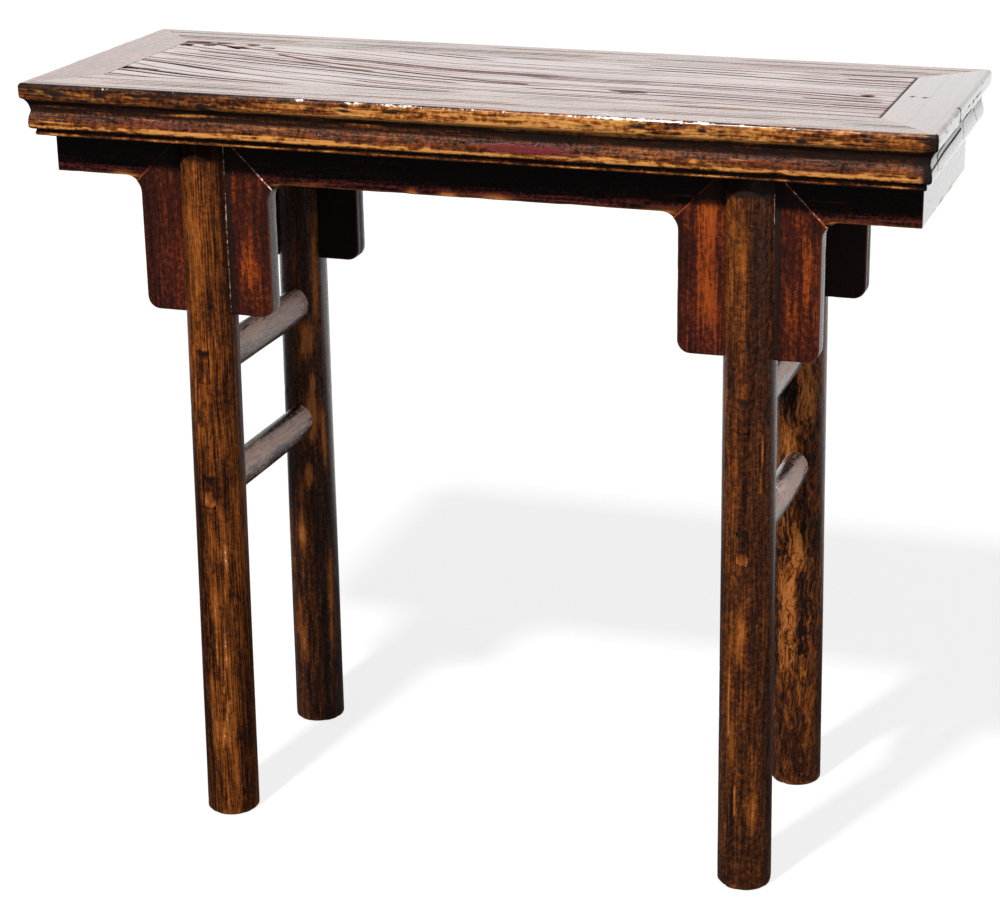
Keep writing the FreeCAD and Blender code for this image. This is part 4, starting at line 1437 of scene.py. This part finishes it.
def slab_rings(outline, y0, y1, radius, back_outline=None, step_y=None):
    """Rings of a board with rounded edges, from a flat front to a flat back."""
    turns = np.linspace(0, math.pi / 2, 4)
    rings = [ring_at(shrink(outline, radius + 0.8 * MM), y0)]
    for turn in turns:
        inset = radius * (1 - math.sin(turn))
        rings.append(ring_at(shrink(outline, inset), y0 + radius * (1 - math.cos(turn))))
    behind = outline if back_outline is None else back_outline
    if step_y is not None:
        rings += [ring_at(outline, step_y), ring_at(behind, step_y)]
    for turn in turns[::-1]:
        inset = radius * (1 - math.sin(turn))
        rings.append(ring_at(shrink(behind, inset), y1 - radius * (1 - math.cos(turn))))
    rings.append(ring_at(shrink(behind, radius + 0.8 * MM), y1))
    return rings


def ring_at(outline, y):
    """An (x, z) outline as a ring of points at one depth."""
    return np.column_stack([outline[:, 0], np.full(len(outline), y), outline[:, 1]])


def edge_wear(points, edge_share, seed, depth):
    """How far wear has drawn in each point, most on the edges."""
    bumps = np.maximum(cloud(points, (0.012, 0.006, 0.012), seed), 0)
    return edge_share * bumps * depth


def split_front(mesh, step_x, step_z):
    """Splits a board's flat front into cells, so that its finish can change across it."""
    work = opened(mesh)
    for axis, step in ((0, step_x), (2, step_z)):
        places = [vertex.co[axis] for vertex in work.verts]
        for place in spaced(min(places), max(places), step)[1:-1]:
            front = [face for face in work.faces if face.normal.y < -0.999]
            parts = list(dict.fromkeys(edge for face in front for edge in face.edges))
            parts += list(dict.fromkeys(vertex for face in front for vertex in face.verts))
            way = [0, 0, 0]
            way[axis] = 1
            point = [place * part for part in way]
            bmesh.ops.bisect_plane(work, geom=front + parts, dist=MM / 1000, plane_co=point, plane_no=way)
    put_back(work, mesh)


def wing_mesh(name, inner, faces_lamp, seed):
    """A spandrel on the outer side of the front right leg, whose hidden end is at inner."""
    wing = sizes("altar_wing")
    # The leg's painted shadow reaches further across a spandrel that faces the lamp.
    bareness, leg_shadow_edge = WING_WEAR.get(name, 1.0), 0.43 if faces_lamp else 0.3
    front, behind = wing_outline(inner, True), wing_outline(inner, False)
    lap_plane = WING_LOW.y + wing.proud + wing.lap
    rings = slab_rings(front, WING_LOW.y, WING_HIGH.y, wing.edge_round, behind, lap_plane)
    edge_ring = np.array([0.15, 0.8, 1, 1, 0.5] + [0, 0] + [0.5, 1, 1, 0.8, 0.15])
    points, faces = loft(rings)
    share = np.repeat(edge_ring, len(front))
    middle = np.array([(inner + WING_HIGH.x) / 2, points[:, 1].mean(), WING_LOW.z + 0.09])
    pull = edge_wear(points, share, seed, 0.5 * MM)
    direction = middle - points
    direction[:, 1] *= 2
    points = points + direction / np.linalg.norm(direction, axis=1)[:, None] * pull[:, None]
    points[:, 2] = np.minimum(points[:, 2], FRAME_LOW)
    mesh = make_mesh(name, points, faces)
    store(mesh, "rim", share)
    split_front(mesh, 5 * MM, 9 * MM)
    points = points_of(mesh)
    share = np.empty(len(points))
    mesh.attributes["rim"].data.foreach_get("value", share)
    mesh.attributes.remove(mesh.attributes["rim"])
    share = np.clip((share - 0.2) * 1.25, 0, 1)
    across = (points[:, 0] - leg_middle_x()) / wing_reach()
    patch = cloud(points, (0.009, 0.02, 0.05), seed + 1)
    slow = cloud(points, (0.03, 0.03, 0.09), seed + 2)
    bared = bell(across, leg_shadow_edge + 0.24, 0.27) * (0.15 + 0.2 * patch + 0.15 * slow) * bareness
    bared *= 0.4 + 0.6 * ramp(points[:, 2], WING_LOW.z + 10 * MM, WING_LOW.z + 60 * MM)
    shown_edge = share * (across > 0.8)
    # Painted shadow of the leg on the spandrel beside it.
    leg_shadow = 1 - ramp(across, leg_shadow_edge, leg_shadow_edge + 0.06)
    # Painted shadow of the frame across the spandrel's top.
    frame_shadow = ramp(points[:, 2], FRAME_LOW - 36 * MM, FRAME_LOW - 28 * MM)
    # A painted highlight along the mitre, pale and worn, strongest on spandrels that face the lamp and kept
    # clear of the frame's painted shadow.
    along_mitre = share * bell(points[:, 0] + points[:, 2], wing_corner(), 1.6 * MM)
    paint(
        mesh,
        worn=np.maximum(bared, 0) + shown_edge * 0.15 + along_mitre * 0.5,
        red=0.25 * np.maximum(slow, 0) + 0.3 * shown_edge,
        # This darkening holds the painted shadows of the leg and the frame, loose dark patches, a dark
        # outer edge, and painted shade over the back spandrels.
        dirt_and_shade=0.7 * leg_shadow + 0.2 * np.maximum(-slow, 0) + 0.7 * frame_shadow * (1 - along_mitre)
        + 0.35 * bell(across, 1, 0.14) * (1 - share) + 0.5 * ("back" in name) * (1 - share),
        pale=along_mitre * (0.8 + 0.4 * patch) * (1.0 if faces_lamp else 0.3),
        calm=shown_edge * (1 - along_mitre),
    )
    return mesh


def wing_corner():
    """The sum of x and z along the mitre between a spandrel and the apron."""
    return leg_middle_x() + wing_reach() + apron_low()


# How much barer than the rest some spandrels are
WING_WEAR = {
    "spandrel_inner_front_right": 1.4, "spandrel_outer_front_right": 1.7,
    "spandrel_inner_front_left": 1.5, "spandrel_outer_front_left": 0.3,
}


class ALTAR_OT_spandrels(bpy.types.Operator):
    """Build the eight spandrels"""

    bl_idname = "altar.spandrels"
    bl_label = "Spandrels"

    def execute(self, context):
        """Makes one wing for each side of each leg, mirrored into its corner."""
        seed = 300
        for row, y_sign in (("front", 1), ("back", -1)):
            for column, x_sign in (("left", -1), ("right", 1)):
                for side in ("outer", "inner"):
                    name = "spandrel_%s_%s_%s" % (side, row, column)
                    inner = WING_LOW.x if side == "outer" else 2 * leg_middle_x() - INNER_WING_HIGH.x
                    faces_lamp = (column == "right") != (side == "inner")
                    mesh = wing_mesh(name, inner, faces_lamp, seed)
                    if side == "inner":
                        mirror(mesh, -1, 1)
                        mesh.transform(Matrix.Translation((2 * leg_middle_x(), 0, 0)))
                    mirror(mesh, x_sign, y_sign)
                    add_piece(mesh, name, "Spandrel lacquer")
                    seed += 5
        return {"FINISHED"}


def apron_ends(end):
    """The left and the right end of an apron's outline, down and then up."""
    middle = (apron_low() + FRAME_LOW) / 2
    return np.array([[-end, FRAME_LOW], [-end, middle]]), np.array([[end, apron_low()], [end, middle]])


def apron_outline():
    """Outline of a long apron in (x, z), lowered round the legs by the rounds beside the spandrels."""
    wing = sizes("altar_wing")
    low, end = apron_low(), APRON_HIGH.x
    drop = wing.inner_round * ROUND_SHARE
    left_end, right_end = apron_ends(end)
    parts = [left_end]
    here = (-end, low)
    for leg in (-leg_middle_x(), leg_middle_x()):
        reach = wing_reach() + wing.inner_round
        left = round_corner((leg - reach, low - wing.inner_round), wing.inner_round, 90, 45, 6)
        right = round_corner((leg + reach, low - wing.inner_round), wing.inner_round, 135, 90, 6)
        parts += [straight(here, left[0], 3 * MM), left[:-1]]
        parts += [straight((left[-1][0], low - drop), (right[0][0], low - drop), 8 * MM), right[:-1]]
        here = tuple(right[-1])
    parts += [straight(here, (end, low), 3 * MM), right_end]
    parts.append(straight((end, FRAME_LOW), (-end, FRAME_LOW), 12 * MM))
    return np.concatenate(parts)


def cut_from(mesh, cutters):
    """The mesh with some convex blocks cut out of it."""
    target = placed("cutting", mesh)
    helpers = []
    for points, faces in cutters:
        block = placed("block", make_mesh("block", points, faces))
        helpers.append(block)
        cut = target.modifiers.new("cut", "BOOLEAN")
        cut.operation, cut.object, cut.solver = "DIFFERENCE", block, "EXACT"
    graph = bpy.context.evaluated_depsgraph_get()
    result = bpy.data.meshes.new_from_object(target.evaluated_get(graph))
    for item in helpers + [target]:
        bpy.data.objects.remove(item)
    finish_mesh(result)
    return result


def gnaw(points, depth, seed):
    """Lifts a board's lower edge unevenly, as wear has, and keeps its top flat."""
    bumps = np.maximum(cloud(points, (0.014, 0.02, 0.01), seed), 0) * depth
    points[:, 2] += bumps * (points[:, 2] < apron_low() + 2.5 * MM)
    points[:, 2] = np.minimum(points[:, 2], FRAME_LOW)


def long_apron_mesh(name, seed):
    """The front apron, worn along its lower edge and cut back where the spandrels lap over it."""
    wing = sizes("altar_wing")
    y0 = WING_LOW.y + wing.proud
    points, faces = loft(slab_rings(apron_outline(), y0, y0 + wing.apron_thickness, wing.edge_round))
    gnaw(points, 0.9 * MM, seed)
    fixed = leg_middle_x() + wing_reach() + 2 * wing.inner_round
    past = np.maximum(np.abs(points[:, 0]) - fixed, 0) / (APRON_HIGH.x - fixed)
    points[:, 0] -= np.sign(points[:, 0]) * past * (points[:, 1] - y0)
    mesh = make_mesh(name, points, faces)
    low = apron_low()
    reach = wing_reach() + wing.inner_round * ROUND_SHARE
    corner_z = low - wing.inner_round * ROUND_SHARE
    top_reach = reach - (FRAME_LOW - corner_z)
    blocks = []
    over = 6 * MM
    for leg in (-leg_middle_x(), leg_middle_x()):
        lapped = np.array([
            (leg - reach - over, corner_z - over), (leg + reach + over, corner_z - over),
            (leg + top_reach - over, FRAME_LOW + over), (leg - top_reach + over, FRAME_LOW + over),
        ])
        blocks.append(loft([ring_at(lapped, y0 - over), ring_at(lapped, y0 + wing.lap)]))
        behind = np.array([
            (leg - reach, corner_z - over), (leg + reach, corner_z - over),
            (leg + reach, low), (leg - reach, low),
        ])
        start = y0 + wing.lap - 0.01 * MM
        blocks.append(loft([ring_at(behind, start), ring_at(behind, y0 + wing.apron_thickness + over)]))
    mesh = cut_from(mesh, blocks)
    split_front(mesh, 9 * MM, 4 * MM)
    paint_apron(mesh, seed, 0)
    return mesh


# Worn places along the front apron, as (middle, half length, strength)
APRON_PLACES = (
    (-0.397, 0.012, 0.5), (-0.18, 0.02, 0.3), (-0.062, 0.006, 0.9), (-0.023, 0.009, 0.9),
    (0.03, 0.016, 0.8), (0.21, 0.02, 0.3), (0.4, 0.03, 0.1),
)


def paint_apron(mesh, seed, axis):
    """Wear along the lower edge of an apron, and crimson above it, painted only on the strip below the
    frame's shadow, so that its lighter colour there is partly painted light.
    """
    points = points_of(mesh)
    low = apron_low()
    near_edge = bell(points[:, 2], low, 1.5 * MM)
    patch = cloud(points, (0.03, 0.03, 0.01), seed + 1)
    places = along_places(points[:, axis], APRON_PLACES)
    worn = near_edge * (0.9 + 0.5 * patch + 0.5 * places)
    worn += 1.3 * places * bell(points[:, 2], low + 2 * MM, 5 * MM)
    worn += 0.08 * bell(points[:, 2], low + 5 * MM, 8 * MM)
    worn += 0.1 * ramp(points[:, axis], 0.1, 0.45) * ramp(low + 16 * MM - points[:, 2], 0, 6 * MM)
    blots = np.maximum(cloud(points, (0.02, 0.02, 0.012), seed + 2) - 0.45, 0)
    # The crimson band lies only where light falls below the frame's shadow: partly the lacquer's colour,
    # partly painted light.
    paint(mesh, worn=worn + 0.3 * blots, red=0.35 * bell(points[:, 2], low + 7 * MM, 6 * MM))


def end_apron_mesh(name, seed):
    """The right end apron, mitred to the long ones."""
    wing = sizes("altar_wing")
    end = abs(WING_LOW.y + wing.proud)
    left_end, right_end = apron_ends(end)
    under = straight((-end, apron_low()), (end, apron_low()), 3 * MM)
    over = straight((end, FRAME_LOW), (-end, FRAME_LOW), 12 * MM)
    outline = np.concatenate([left_end, under, right_end, over])
    y0 = -APRON_HIGH.x
    points, faces = loft(slab_rings(outline, y0, y0 + wing.apron_thickness, wing.edge_round))
    gnaw(points, 0.6 * MM, seed)
    points[:, 0] *= 1 - (points[:, 1] - y0) / end
    mesh = make_mesh(name, turned(points, 1), faces)
    paint_apron(mesh, seed, 1)
    return mesh


class ALTAR_OT_aprons(bpy.types.Operator):
    """Build the four aprons"""

    bl_idname = "altar.aprons"
    bl_label = "Aprons"

    def execute(self, context):
        """Makes the front and right aprons and turns a second pair round to the back and left."""
        aprons = (
            ("front_apron", long_apron_mesh, 400, "Apron lacquer"),
            ("back_apron", long_apron_mesh, 410, "Apron lacquer"),
            ("right_end_apron", end_apron_mesh, 420, "End apron lacquer"),
            ("left_end_apron", end_apron_mesh, 430, "End apron lacquer"),
        )
        for name, make, seed, finish in aprons:
            mesh = make(name, seed)
            if name.startswith(("back", "left")):
                mesh.transform(Matrix.Rotation(math.pi, 4, "Z"))
            add_piece(mesh, name, finish)
        return {"FINISHED"}


# Stretchers


def stretcher_mesh(name, level, seed):
    """An oval bar at the right end, scribed to both legs, with a tenon through each in their finish."""
    bar = sizes("altar_stretcher")
    angle = np.linspace(0, 2 * math.pi, 57)[:-1]
    oval = np.column_stack([bar.width / 2 * np.cos(angle), bar.height / 2 * np.sin(angle)])
    square = 10
    half = np.array([bar.tenon_thickness / 2, bar.tenon_height / 2])
    block = oval / (np.sum(np.abs(oval / half) ** square, axis=1) ** (1 / square))[:, None]
    middle_x = leg_line(level)[0]

    def at_leg(section, side, back):
        """The ring of a section on the near (1) or far (-1) side of the front leg, moved back."""
        _, leg_y, radius = leg_line(level + section[:, 1])
        off = leg_line(level + section[:, 1])[0] - middle_x
        y = leg_y + side * np.sqrt(radius**2 - (section[:, 0] - off) ** 2) + back
        return np.column_stack([middle_x + section[:, 0], y, level + section[:, 1]])

    skin = sizes("altar_leg").facet_depth
    front = [
        at_leg(block * 0.86, -1, skin * 0.6), at_leg(block * 0.97, -1, skin * 0.75),
        at_leg(block, -1, skin + 0.7 * MM), at_leg(block, 1, -1.5 * MM), at_leg(oval, 1, -1.0 * MM),
    ]
    first = at_leg(oval, 1, -0.2 * MM)
    last = first * np.array([1, -1, 1])
    body = [first * (1 - s) + last * s for s in np.linspace(0, 1, 60)]
    back = [ring * np.array([1, -1, 1]) for ring in front[::-1]]
    rings = front + body + back
    points, faces = loft(rings)
    inside = np.zeros(len(rings), bool)
    inside[len(front):-len(front)] = True
    shown = np.repeat(inside, len(oval))
    uneven = 0.5 + 0.5 * cloud(points, (0.014, 0.07, 0.014), seed)
    centre = np.column_stack([np.full(len(points), middle_x), points[:, 1], np.full(len(points), level)])
    towards = centre - points
    towards /= np.maximum(np.linalg.norm(towards, axis=1), 1e-6)[:, None]
    points = points + towards * (shown * uneven * 0.7 * MM)[:, None]
    mesh = make_mesh(name, points, faces)
    # The upper shoulders are pale, partly rubbed wood and partly a painted highlight; a darker band runs
    # along the top.
    around = np.tile(np.degrees(angle), len(rings))
    ridge = bell(around, 62, 5) + bell(around, 118, 5)
    patch = cloud(points, (0.02, 0.04, 0.02), seed + 1)
    shoulder = bell(around, 35, 32) + bell(around, 145, 32)
    body = shown * (0.1 + 0.4 * patch - 0.4 * ridge + 0.9 * shoulder)
    foot = level - points[:, 2]
    lower = level == tenon_levels()[0]
    bared = lower * bell(foot, 0.33 * bar.tenon_height, 4 * MM)
    chip = lower * 0.62 * bell(foot, 0.47 * bar.tenon_height, 1.2 * MM)
    upper_edge = bell(foot, -0.42 * bar.tenon_height, 2.2 * MM) + 0.5 * bell(foot, 0, 6 * MM)
    paint(
        mesh, worn=body + ~shown * 1.3 * bared, red=~shown * 0.25 * bared,
        # The underside is painted dark as painted shade.
        dirt_and_shade=(0.9 * bell(around, 270, 62) + 0.5 * bell(around, 90, 18)) * shown
        + (0.1 + 0.8 * upper_edge) * ~shown,
        pale=~shown * chip,
    )
    for polygon in mesh.polygons:
        polygon.material_index = int(not shown[list(polygon.vertices)].any())
    return mesh


class ALTAR_OT_stretchers(bpy.types.Operator):
    """Build the four oval stretchers"""

    bl_idname = "altar.stretchers"
    bl_label = "Stretchers"

    def execute(self, context):
        """Makes a pair at the right end and mirrors another pair to the left."""
        seed = 500
        for level_name, level in zip(("lower", "upper"), tenon_levels()):
            for column, x_sign in (("right", 1), ("left", -1)):
                name = "stretcher_%s_%s" % (level_name, column)
                mesh = stretcher_mesh(name, level, seed)
                mirror(mesh, x_sign, 1)
                add_piece(mesh, name, "Stretcher lacquer")
                mesh.materials.append(material_named("Front %s leg" % column))
                seed += 5
        return {"FINISHED"}


# Stage

CAMERA_PLACE = (0.85984, -2.52382, 1.36135)
CAMERA_YAW = 17.67
CAMERA_PITCH = -19.39
CAMERA_ROLL = -0.45
FOCAL_PIXELS = 2505.36
CENTRE_PIXEL = (560.0, 451.5)
IMAGE_SIZE = (1000, 903)
SENSOR = 36.0
WHITE = (1, 1, 1, 1)


def make_camera():
    """The camera at the photograph's viewpoint."""
    data = bpy.data.cameras.new("Viewpoint")
    camera = placed("Viewpoint", data)
    yaw, pitch, roll = (math.radians(a) for a in (CAMERA_YAW, CAMERA_PITCH, CAMERA_ROLL))
    level = Matrix.Rotation(yaw, 4, "Z") @ Matrix.Rotation(math.pi / 2 + pitch, 4, "X")
    camera.matrix_world = Matrix.Translation(CAMERA_PLACE) @ level @ Matrix.Rotation(roll, 4, "Z")
    data.sensor_width = SENSOR
    data.lens = FOCAL_PIXELS / IMAGE_SIZE[0] * SENSOR
    data.shift_x = (IMAGE_SIZE[0] / 2 - CENTRE_PIXEL[0]) / IMAGE_SIZE[0]
    data.shift_y = (CENTRE_PIXEL[1] - IMAGE_SIZE[1] / 2) / IMAGE_SIZE[0]
    data.clip_end = 100
    bpy.context.scene.camera = camera


def make_lamp(name, power, side, azimuth, height, distance):
    """A square lamp that looks at the table. Azimuth 0 is in front, and positive is to the right."""
    data = bpy.data.lights.new(name, "AREA")
    data.energy, data.size = power, side
    turn = Matrix.Rotation(math.radians(azimuth), 4, "Z")
    tilt = Matrix.Rotation(math.radians(90 - height), 4, "X")
    aim = Matrix.Translation((0, 0, 0.55))
    placed(name, data).matrix_world = aim @ turn @ tilt @ Matrix.Translation((0, 0, distance))


def make_floor():
    """A wide pale floor that keeps the table's shadow, glows white to the camera, and glows in reflections,
    brighter behind the table.
    """
    mesh = bpy.data.meshes.new("floor")
    far = 40
    mesh.from_pydata([(-far, -far, 0), (far, -far, 0), (far, far, 0), (-far, far, 0)], [], [(0, 1, 2, 3)])
    floor = placed("floor", mesh)
    floor.location.z = -0.2 * MM
    tree, _ = new_material("Pale floor")
    tree.nodes.clear()
    tone = sizes("altar_stage").floor
    rays = node(tree, "LightPath").outputs
    place = node(tree, "TexCoord").outputs["Object"]
    behind = stretch(values(node(tree, "SeparateXYZ", {0: place}))[1], 0.4, 1.5, 0.08, 1.15)
    away = Value(node(tree, "VectorMath", {0: place}, operation="LENGTH").outputs["Value"])
    lit = node(tree, "BsdfDiffuse", {"Color": tinted(tone, 0.3)}).outputs[0]
    glow = node(tree, "Emission", {"Color": WHITE, "Strength": stretch(away, 0.8, 3.0, 0.81, 1.0)})
    seen = node(tree, "AddShader", {0: lit, 1: glow.outputs[0]}).outputs[0]
    mirrored = node(tree, "Emission", {"Color": WHITE, "Strength": behind}).outputs[0]
    matt = node(tree, "BsdfDiffuse", {"Color": tinted(tone, 0.2)}).outputs[0]
    plain = node(tree, "MixShader", {0: rays["Is Camera Ray"], 1: matt, 2: seen}).outputs[0]
    last = node(tree, "MixShader", {0: rays["Is Glossy Ray"], 1: plain, 2: mirrored}).outputs[0]
    node(tree, "OutputMaterial", {"Surface": last})
    mesh.materials.append(bpy.data.materials["Pale floor"])


def make_world():
    """White for the camera, even light for the table, and brighter behind it for its gloss."""
    world = bpy.data.worlds.new("Studio")
    bpy.context.scene.world = world
    world.use_nodes = True
    tree = world.node_tree
    tree.nodes.clear()
    rays = node(tree, "LightPath").outputs
    way = values(node(tree, "SeparateXYZ", {0: node(tree, "TexCoord").outputs["Generated"]}))
    behind = stretch(way[1], 0.7, 0.88, 0.08, 1.25)
    even = sizes("altar_stage").room_light
    strength = node(tree, "Mix", {0: rays["Is Glossy Ray"], 2: even, 3: behind}).outputs[0]
    strength = node(tree, "Mix", {0: rays["Is Camera Ray"], 2: strength, 3: 1.0}).outputs[0]
    light = node(tree, "Background", {"Color": WHITE, "Strength": strength}).outputs[0]
    node(tree, "OutputWorld", {"Surface": light})


class ALTAR_OT_stage(bpy.types.Operator):
    """Set up the floor, the lamps and the camera"""

    bl_idname = "altar.stage"
    bl_label = "Stage"

    def execute(self, context):
        """Makes the camera first and then what lights the table."""
        settings = sizes("altar_stage")
        make_camera()
        make_floor()
        make_world()
        make_lamp("Key lamp", settings.key_power, settings.key_size, -14, 51, 4)
        make_lamp("Fill lamp", settings.fill_power, settings.fill_size, 62, 14, 4)
        context.scene.view_settings.view_transform = "Standard"
        return {"FINISHED"}


OPERATORS = (
    ALTAR_OT_stage, ALTAR_OT_frame, ALTAR_OT_panel, ALTAR_OT_braces, ALTAR_OT_legs,
    ALTAR_OT_spandrels, ALTAR_OT_aprons, ALTAR_OT_stretchers,
)


class ALTAR_PT_pieces(bpy.types.Panel):
    """Sizes, colours and build steps of the altar table"""

    bl_label = "Altar Table"
    bl_idname = "ALTAR_PT_pieces"
    bl_space_type = "VIEW_3D"
    bl_region_type = "UI"
    bl_category = "Altar Table"

    def draw(self, context):
        """Lists each build step, then each group of sizes and colours."""
        for operator in OPERATORS:
            self.layout.operator(operator.bl_idname)
        for name in GROUPS:
            group = getattr(context.scene, name)
            box = self.layout.box()
            for key in group.__annotations__:
                box.prop(group, key)


def register():
    """Registers the classes and hangs the property groups on the scene."""
    for item in (*GROUPS.values(), *OPERATORS, ALTAR_PT_pieces):
        bpy.utils.register_class(item)
    for name, group in GROUPS.items():
        setattr(bpy.types.Scene, name, PointerProperty(type=group))


def unregister():
    """Takes the property groups and the classes away again."""
    for name in GROUPS:
        delattr(bpy.types.Scene, name)
    for item in reversed((*GROUPS.values(), *OPERATORS, ALTAR_PT_pieces)):
        bpy.utils.unregister_class(item)


def main():
    """Builds the table on its stage."""
    register()
    for operator in OPERATORS:
        group, name = operator.bl_idname.split(".")
        getattr(getattr(bpy.ops, group), name)()
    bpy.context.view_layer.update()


if __name__ == "__main__":
    main()
